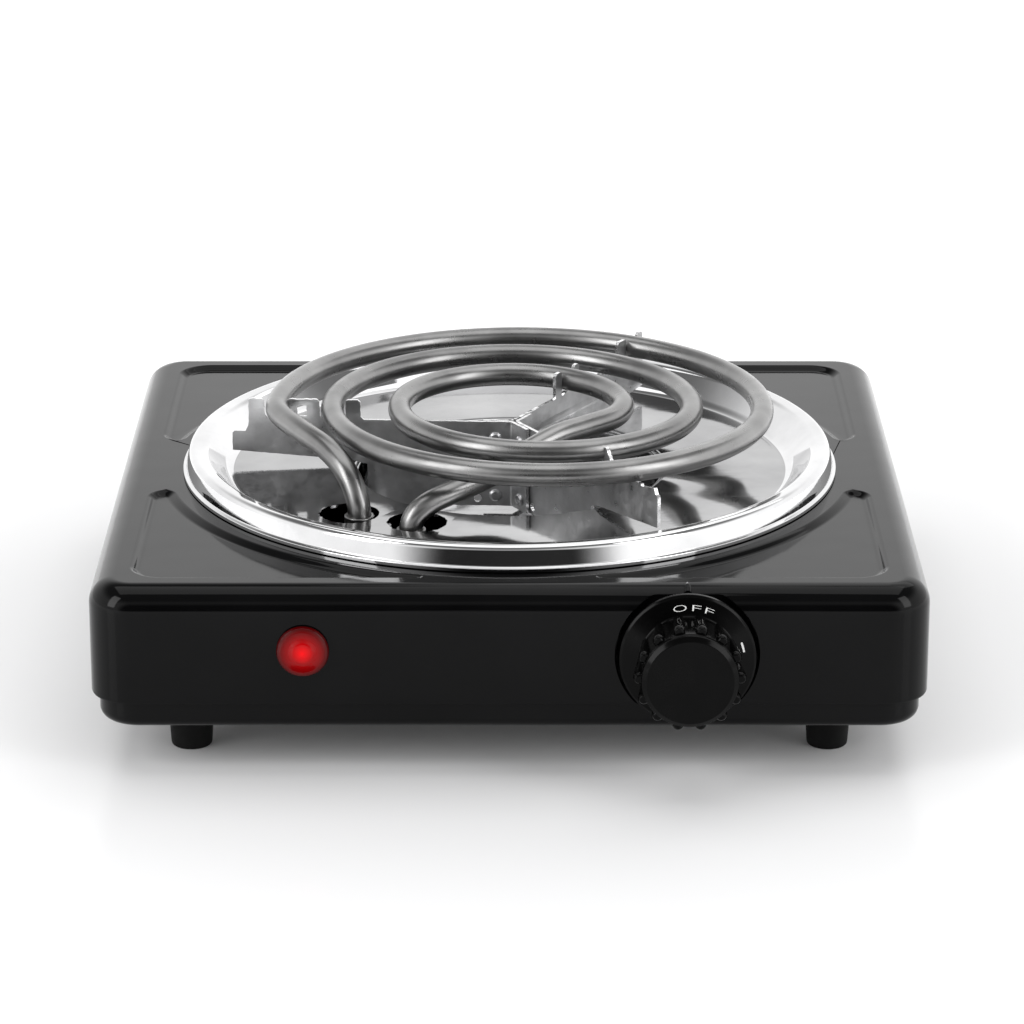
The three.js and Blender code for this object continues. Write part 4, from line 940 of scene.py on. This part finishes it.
def makeRivets():
    shank, head, headHigh, eye = rivet.values()
    face = stripOffset + strip["thick"] / 2 + 0.02
    tall = face + headHigh
    piece = turned("rivetPiece", softLine([
        (0, tall - 0.75), (eye, tall - 0.7, 0.1), (eye + 0.2, tall - 0.05, 0.2), (1.35, tall, 0.4),
        (head, face + 0.3, 0.3), (head - 0.1, face), (shank, face), (shank, -face), (head - 0.1, -face),
        (head, -face - 0.4, 0.3), (1.2, -tall, 0.5), (0, -tall - 0.03)], 4), sides=28)
    piece.data.transform(Matrix.Rotation(math.radians(90), 4, "X"))
    places = []
    for arm in arms.values():
        at = Vector((strip["hubX"], 0, 0)) + heading(arm["angle"]) * strip["rivetAt"]
        for z in strip["heights"]:
            places.append(((at.x, at.y, z), (0, 0, math.radians(arm["angle"]))))
    return smoothed(repeated("hubRivets", piece, places, coats["zinc"]), 40)


finishPiece(makeRivets(), "root", "zinc_steel",
            *[f"hub_rivet_{arm}_{level}" for arm in arms for level in ("lower", "upper")])

hubScrew = {"head": 3.2, "low": 31.7, "seat": 40.9, "shank": 1.5, "slot": 0.4}


def makeHubScrew():
    high = boxOf("hub_bolt")[1].z
    head, low, seat, shank, wide = hubScrew.values()
    obj = turned("hubScrew", softLine([
        (0, low), (shank, low, 0.4), (shank, seat), (head, seat, 0.15), (head, seat + 1.2, 0.5),
        (2, high, 1), (0, high)]), (boltAt.x, boltAt.y), sides=40)
    carve(obj, [block("slot", (boltAt.x - 4, boltAt.y - wide, seat + 1.1),
                      (boltAt.x + 4, boltAt.y + wide, high + 1))])
    return smoothed(painted(obj, coats["zinc"]), 35)


finishPiece(makeHubScrew(), "root", "zinc_steel", "hub_bolt")
print("element and support done")


# Knob, drawn with its axis upright and then laid along the shaft.

knob = {
    "face": 128.5, "capEdge": 12.8, "core": 12.75, "lobes": 14, "lobeRadius": 1.6,
    "lobeOut": 14.9, "lobeBack": 13.4, "lobeNose": (0.45, 0.35), "grip": (111.7, 125.3),
    "skirt": [(12.75, 112.6, 0.9), (15.6, 111.6, 2), (17.6, 110.9, 0.6), (18.2, 110.4, 0.25)],
    "under": [(18.2, 109.2, 0.2), (16.8, 109.2, 0.3), (15.6, 110), (9, 110), (8, 109.2), (7, 107.4),
              (3.3, 107.4), (3.3, 120.5), (0, 120.5)],
    "word": [("O", -9, 3.5, 1.55), ("F", 8, 2.3, 1.5), ("F", 21.5, 2.3, 1.5)], "wordRadius": 15.0,
    "dash": (75, 2.8, 0.5), "markLift": (0.035, -0.03),
}


def layKnob(obj):
    obj.data.transform(Matrix.Translation((knobAt.x, 0, knobAt.z)) @ Matrix.Rotation(math.pi / 2, 4, "X"))
    return obj


def skirtHeight(radius):
    steps = knob["skirt"]
    for (ra, za, softA), (rb, zb, softB) in zip(steps, steps[1:]):
        if radius <= rb:
            return za + (zb - za) * (radius - ra) / (rb - ra)
    return steps[-1][1]


def makeLobe():
    # a ridge that rises towards the front and ends in a round bead
    low, high = knob["grip"]
    r, back, front = knob["lobeRadius"], knob["lobeBack"], knob["lobeOut"]
    drop, least = knob["lobeNose"]
    stations = []
    for k in range(9):
        t = k / 8
        stations.append((low + (high - r - low) * t, back + (front - back) * t, r))
    for k in range(1, 6):
        t = math.pi / 2 * k / 6
        stations.append((high - r + r * math.sin(t), front - r * drop * (1 - math.cos(t)),
                         r * (least + (1 - least) * math.cos(t))))
    levels = []
    for z, out, radius in stations:
        centre = out - radius
        outline = arc(centre, 0, radius, -90, 90, 10) + [(centre - 3, radius), (centre - 3, -radius)]
        levels.append((outline, z))
    return loft("lobePiece", levels)


def markMesh(letter, degrees, width, height):
    curve = bpy.data.curves.new("mark", "FONT")
    curve.body = letter
    curve.extrude = 0.03
    curve.offset = -0.018
    curve.resolution_u = 8
    text = addObject("mark", curve)
    graph = bpy.context.evaluated_depsgraph_get()
    graph.update()
    mesh = bpy.data.meshes.new_from_object(text.evaluated_get(graph))
    bpy.data.objects.remove(text)
    xs = [v.co.x for v in mesh.vertices]
    ys = [v.co.y for v in mesh.vertices]
    for vert in mesh.vertices:
        across = ((vert.co.x - min(xs)) / (max(xs) - min(xs)) - 0.5) * width
        up = ((vert.co.y - min(ys)) / (max(ys) - min(ys)) - 0.5) * height
        wrapOnSkirt(vert, across, up, degrees)
    return painted(addObject("mark", mesh), coats["markWhite"])


def wrapOnSkirt(vert, across, up, degrees):
    radius = knob["wordRadius"] + up
    turn = math.radians(90 - degrees) - across / knob["wordRadius"]
    lift = knob["markLift"][int(vert.co.z <= 0)]
    vert.co = (radius * math.cos(turn), radius * math.sin(turn), skirtHeight(radius) + lift)


def dashMesh():
    degrees, length, width = knob["dash"]
    outline = [(length * (k / 8 - 0.5), -width / 2) for k in range(9)]
    outline += [(length * (0.5 - k / 8), width / 2) for k in range(9)]
    obj = loft("mark", [(outline, -0.03), (outline, 0.03)])
    for vert in obj.data.vertices:
        wrapOnSkirt(vert, vert.co.x, vert.co.y, degrees)
    return painted(obj, coats["markWhite"])


def makeKnobGrip():
    core = knob["core"]
    body = turned("knobCore", softLine([
        (0, 126), (core - 0.5, 126, 0.3), (core, 125.2, 0.4), *knob["skirt"], *knob["under"]], 5), sides=128)
    painted(body, coats["knobBlack"])
    lobes = addMesh("knobLobes", [], [])
    grown(lobes, lobeRing, {
        "Lobe": makeLobe(), "Count": knob["lobes"], "Radius": 0.001, "Finish": coats["knobBlack"]})
    lobes.data.transform(Matrix.Rotation(math.radians(90 + 180 / knob["lobes"]), 4, "Z"))
    bpy.data.objects.remove(bpy.data.objects["lobePiece"])
    solid = smoothed(outward(carve(body, [lobes], "UNION")), 38)
    marks = [markMesh(*mark) for mark in knob["word"]] + [dashMesh()]
    return layKnob(joined("knobGrip", [solid] + marks))


finishPiece(makeKnobGrip(), "knob", "knob_plastic", "knob_body")


def makeKnobCap():
    face, edge = knob["face"], knob["capEdge"]
    obj = turned("knobCap", softLine([
        (0, 126.3), (edge - 0.3, 126.3, 0.2), (edge, 126.7, 0.2), (edge - 0.1, 127.05, 0.2),
        (11.5, face - 0.5, 0.5), (6, face - 0.08, 8), (0, face)], 6), sides=128)
    return smoothed(layKnob(painted(obj, coats["knobBlack"])), 60)


finishPiece(makeKnobCap(), "knob", "knob_plastic", "knob_cap")


# Indicator lamp.

lens = {"rim": 7.0, "stem": 4.9, "bore": 3.6, "stemEnd": -99, "boreEnd": -106.6}


def makeLens():
    seat = frontY - 0.3
    rim, stem, bore, stemEnd, boreEnd = lens.values()
    obj = turned("lampLens", softLine([
        (0, seat - 2.1), (2.6, seat - 2.0, 1.5), (3.8, seat - 1.35, 0.4), (4.5, seat - 1.5, 0.4),
        (5.7, seat - 1.8, 0.6), (6.7, seat - 1.3, 0.4), (rim, seat - 0.6, 0.4), (rim, seat, 0.1),
        (stem, seat), (stem, stemEnd), (bore, stemEnd), (bore, boreEnd), (0, boreEnd)], 5), (lampAt.x, lampAt.z), "Y", 72)
    return smoothed(painted(obj, coats["lensRed"]), 40)


finishPiece(makeLens(), "root", "lamp_red", "lamp_lens")


# Cord gland in the rear wall.

gland = {"bore": 3.6, "thread": 5.4, "flange": 8, "start": 100, "ribs": 3, "ribPitch": 1.6, "ribDeep": 0.4}


def makeGland():
    face, end = rearY + 0.3, boxOf("cord_gland")[1].y
    bore, thread, flange, start = (gland[name] for name in ("bore", "thread", "flange", "start"))
    neck = thread - gland["ribDeep"]
    ribs = []
    for k in range(gland["ribs"]):  # soft rings that let the neck bend
        y = start + 1 + gland["ribPitch"] * k
        ribs += [(thread, y, 0.2), (neck, y + 0.5, 0.1), (neck, y + 0.9, 0.1), (thread, y + 1.4, 0.2)]
    obj = turned("cordGland", softLine(
        [(bore, start), (thread, start, 0.3)] + ribs
        + [(thread, face), (flange, face, 0.2), (flange, face + 1.6, 0.7),
           (6.4, end, 0.7), (4.5, end, 0.5), (bore, end - 0.8, 0.3)], 5), (glandAt.x, glandAt.z), "Y", 72)
    return smoothed(outward(painted(obj, coats["glandBlack"])), 35)


finishPiece(makeGland(), "root", "gland_black", "cord_gland")


# Finishes of the CAD nodes that stay, by the start of their names.

keptFinishes = {
    "zinc": ("corner_bracket", "bowl_strap", "heat_shield", "hub_nut", "element_clamp", "thermostat_shaft",
             "thermostat_bracket", "thermostat_screw", "lamp_clip"),
    "strip": ("hub_bracket",),
    "brass": ("earth_screw", "terminal_pin", "bimetal_blade", "contact_blade"),
    "ceramic": ("insulator", "thermostat_body"), "nylon": ("lamp_body", "terminal_block"),
    "bulbGlass": ("neon_bulb",), "glandBlack": ("gland_nut",), "greenCover": ("wire_earth",),
    "brownCover": ("wire_supply", "wire_element_live", "wire_lamp_live"),
    "blueCover": ("wire_element_neutral", "wire_lamp_neutral"),
}
for nodeName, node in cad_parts.items():
    for finishName, starts in keptFinishes.items():
        if nodeName.startswith(starts):
            for slot in node.material_slots:
                slot.material = coats[finishName]
print("kept nodes finished")


# Floor, light and camera, in metres.

studio = {
    "floor": 15, "floorLook": {
        "Base Color": (0.82, 0.82, 0.825, 1), "Roughness": 0.2, "Specular IOR Level": 0.1,
        "Emission Color": (1, 1, 1, 1)},
    # painted light on the floor: glow strength by distance from the object
    "glowReach": (0.13, 0.55), "glow": (0.02, 0.55),
    "sky": {  # by direction: where it changes, from what to what
        "Y": ((-0.93, -0.74), (0.03, 1.45), "SMOOTHSTEP"),  # dim in front of the object, bright behind it
        "X": ((-0.5, 0.5), (0.95, 1.05), "LINEAR"),  # a little brighter on the right
        "Z": ((0.42, 0.75), (1, 0.15), "SMOOTHSTEP")},  # darker high above
    "lights": {  # place, size, energy
        "topSoft": ((0, 0.15, 1.5), (1.6, 1.2), 10), "leftSoft": ((-1.1, -0.75, 0.75), (0.5, 1.1), 9),
        "rightSoft": ((1.1, -0.75, 0.75), (0.5, 1.1), 7), "backSoft": ((0.5, 1.1, 1.35), (1.2, 0.7), 3)},
    "lightAim": 0.05, "distance": 1.2, "elevation": 19.0, "aim": 0.0386, "side": 0.0007, "lens": 145.5,
}


def areaLight(name, at, size, energy):
    data = bpy.data.lights.new(name, "AREA")
    data.shape = "RECTANGLE"
    data.size, data.size_y = size
    data.energy = energy
    lamp = addObject(name, data)
    lamp.location = at
    aim = Vector((0, middleY, studio["lightAim"]))
    lamp.rotation_euler = (aim - Vector(at)).to_track_quat("-Z", "Y").to_euler()


def makeStudio():
    half = studio["floor"]
    floor = addMesh("floor", [(-half, -half, 0), (half, -half, 0), (half, half, 0), (-half, half, 0)],
                    [(0, 1, 2, 3)])
    mat, tree, shader, spot = newMaterial("floorWhite")
    span = addNode(tree, "ShaderNodeVectorMath", {0: spot}, operation="LENGTH")
    # painted light: the paper floor glows more the further it is from the object and stays dim near it
    glowing = ranged(tree, span.outputs["Value"], studio["glowReach"], studio["glow"], "SMOOTHSTEP")
    fill(tree, shader, {**studio["floorLook"], "Emission Strength": glowing})
    floor.data.materials.append(mat)
    world = bpy.data.worlds.new("studio")
    world.use_nodes = True
    tree = world.node_tree
    way = addNode(tree, "ShaderNodeTexCoord").outputs["Generated"]
    parts = addNode(tree, "ShaderNodeSeparateXYZ", {0: way}).outputs
    strength = 1
    for side, levels in studio["sky"].items():
        strength = addNode(tree, "ShaderNodeMath", {0: strength, 1: ranged(tree, parts[side], *levels)},
                           operation="MULTIPLY").outputs[0]
    fill(tree, tree.nodes["Background"], {"Color": (1, 1, 1, 1), "Strength": strength})
    scene.world = world
    for name, values in studio["lights"].items():
        areaLight(name, *values)


makeStudio()
scene.view_settings.view_transform = "Standard"
lift = math.radians(studio["elevation"])
cameraData = bpy.data.cameras.new("camera")
cameraData.lens = studio["lens"]
cameraData.sensor_width = 36
camera = addObject("camera", cameraData)
camera.location = (studio["side"], middleY - studio["distance"] * math.cos(lift),
                   studio["aim"] + studio["distance"] * math.sin(lift))
camera.rotation_euler = (math.pi / 2 - lift, 0, 0)
scene.camera = camera

print("studio ready")
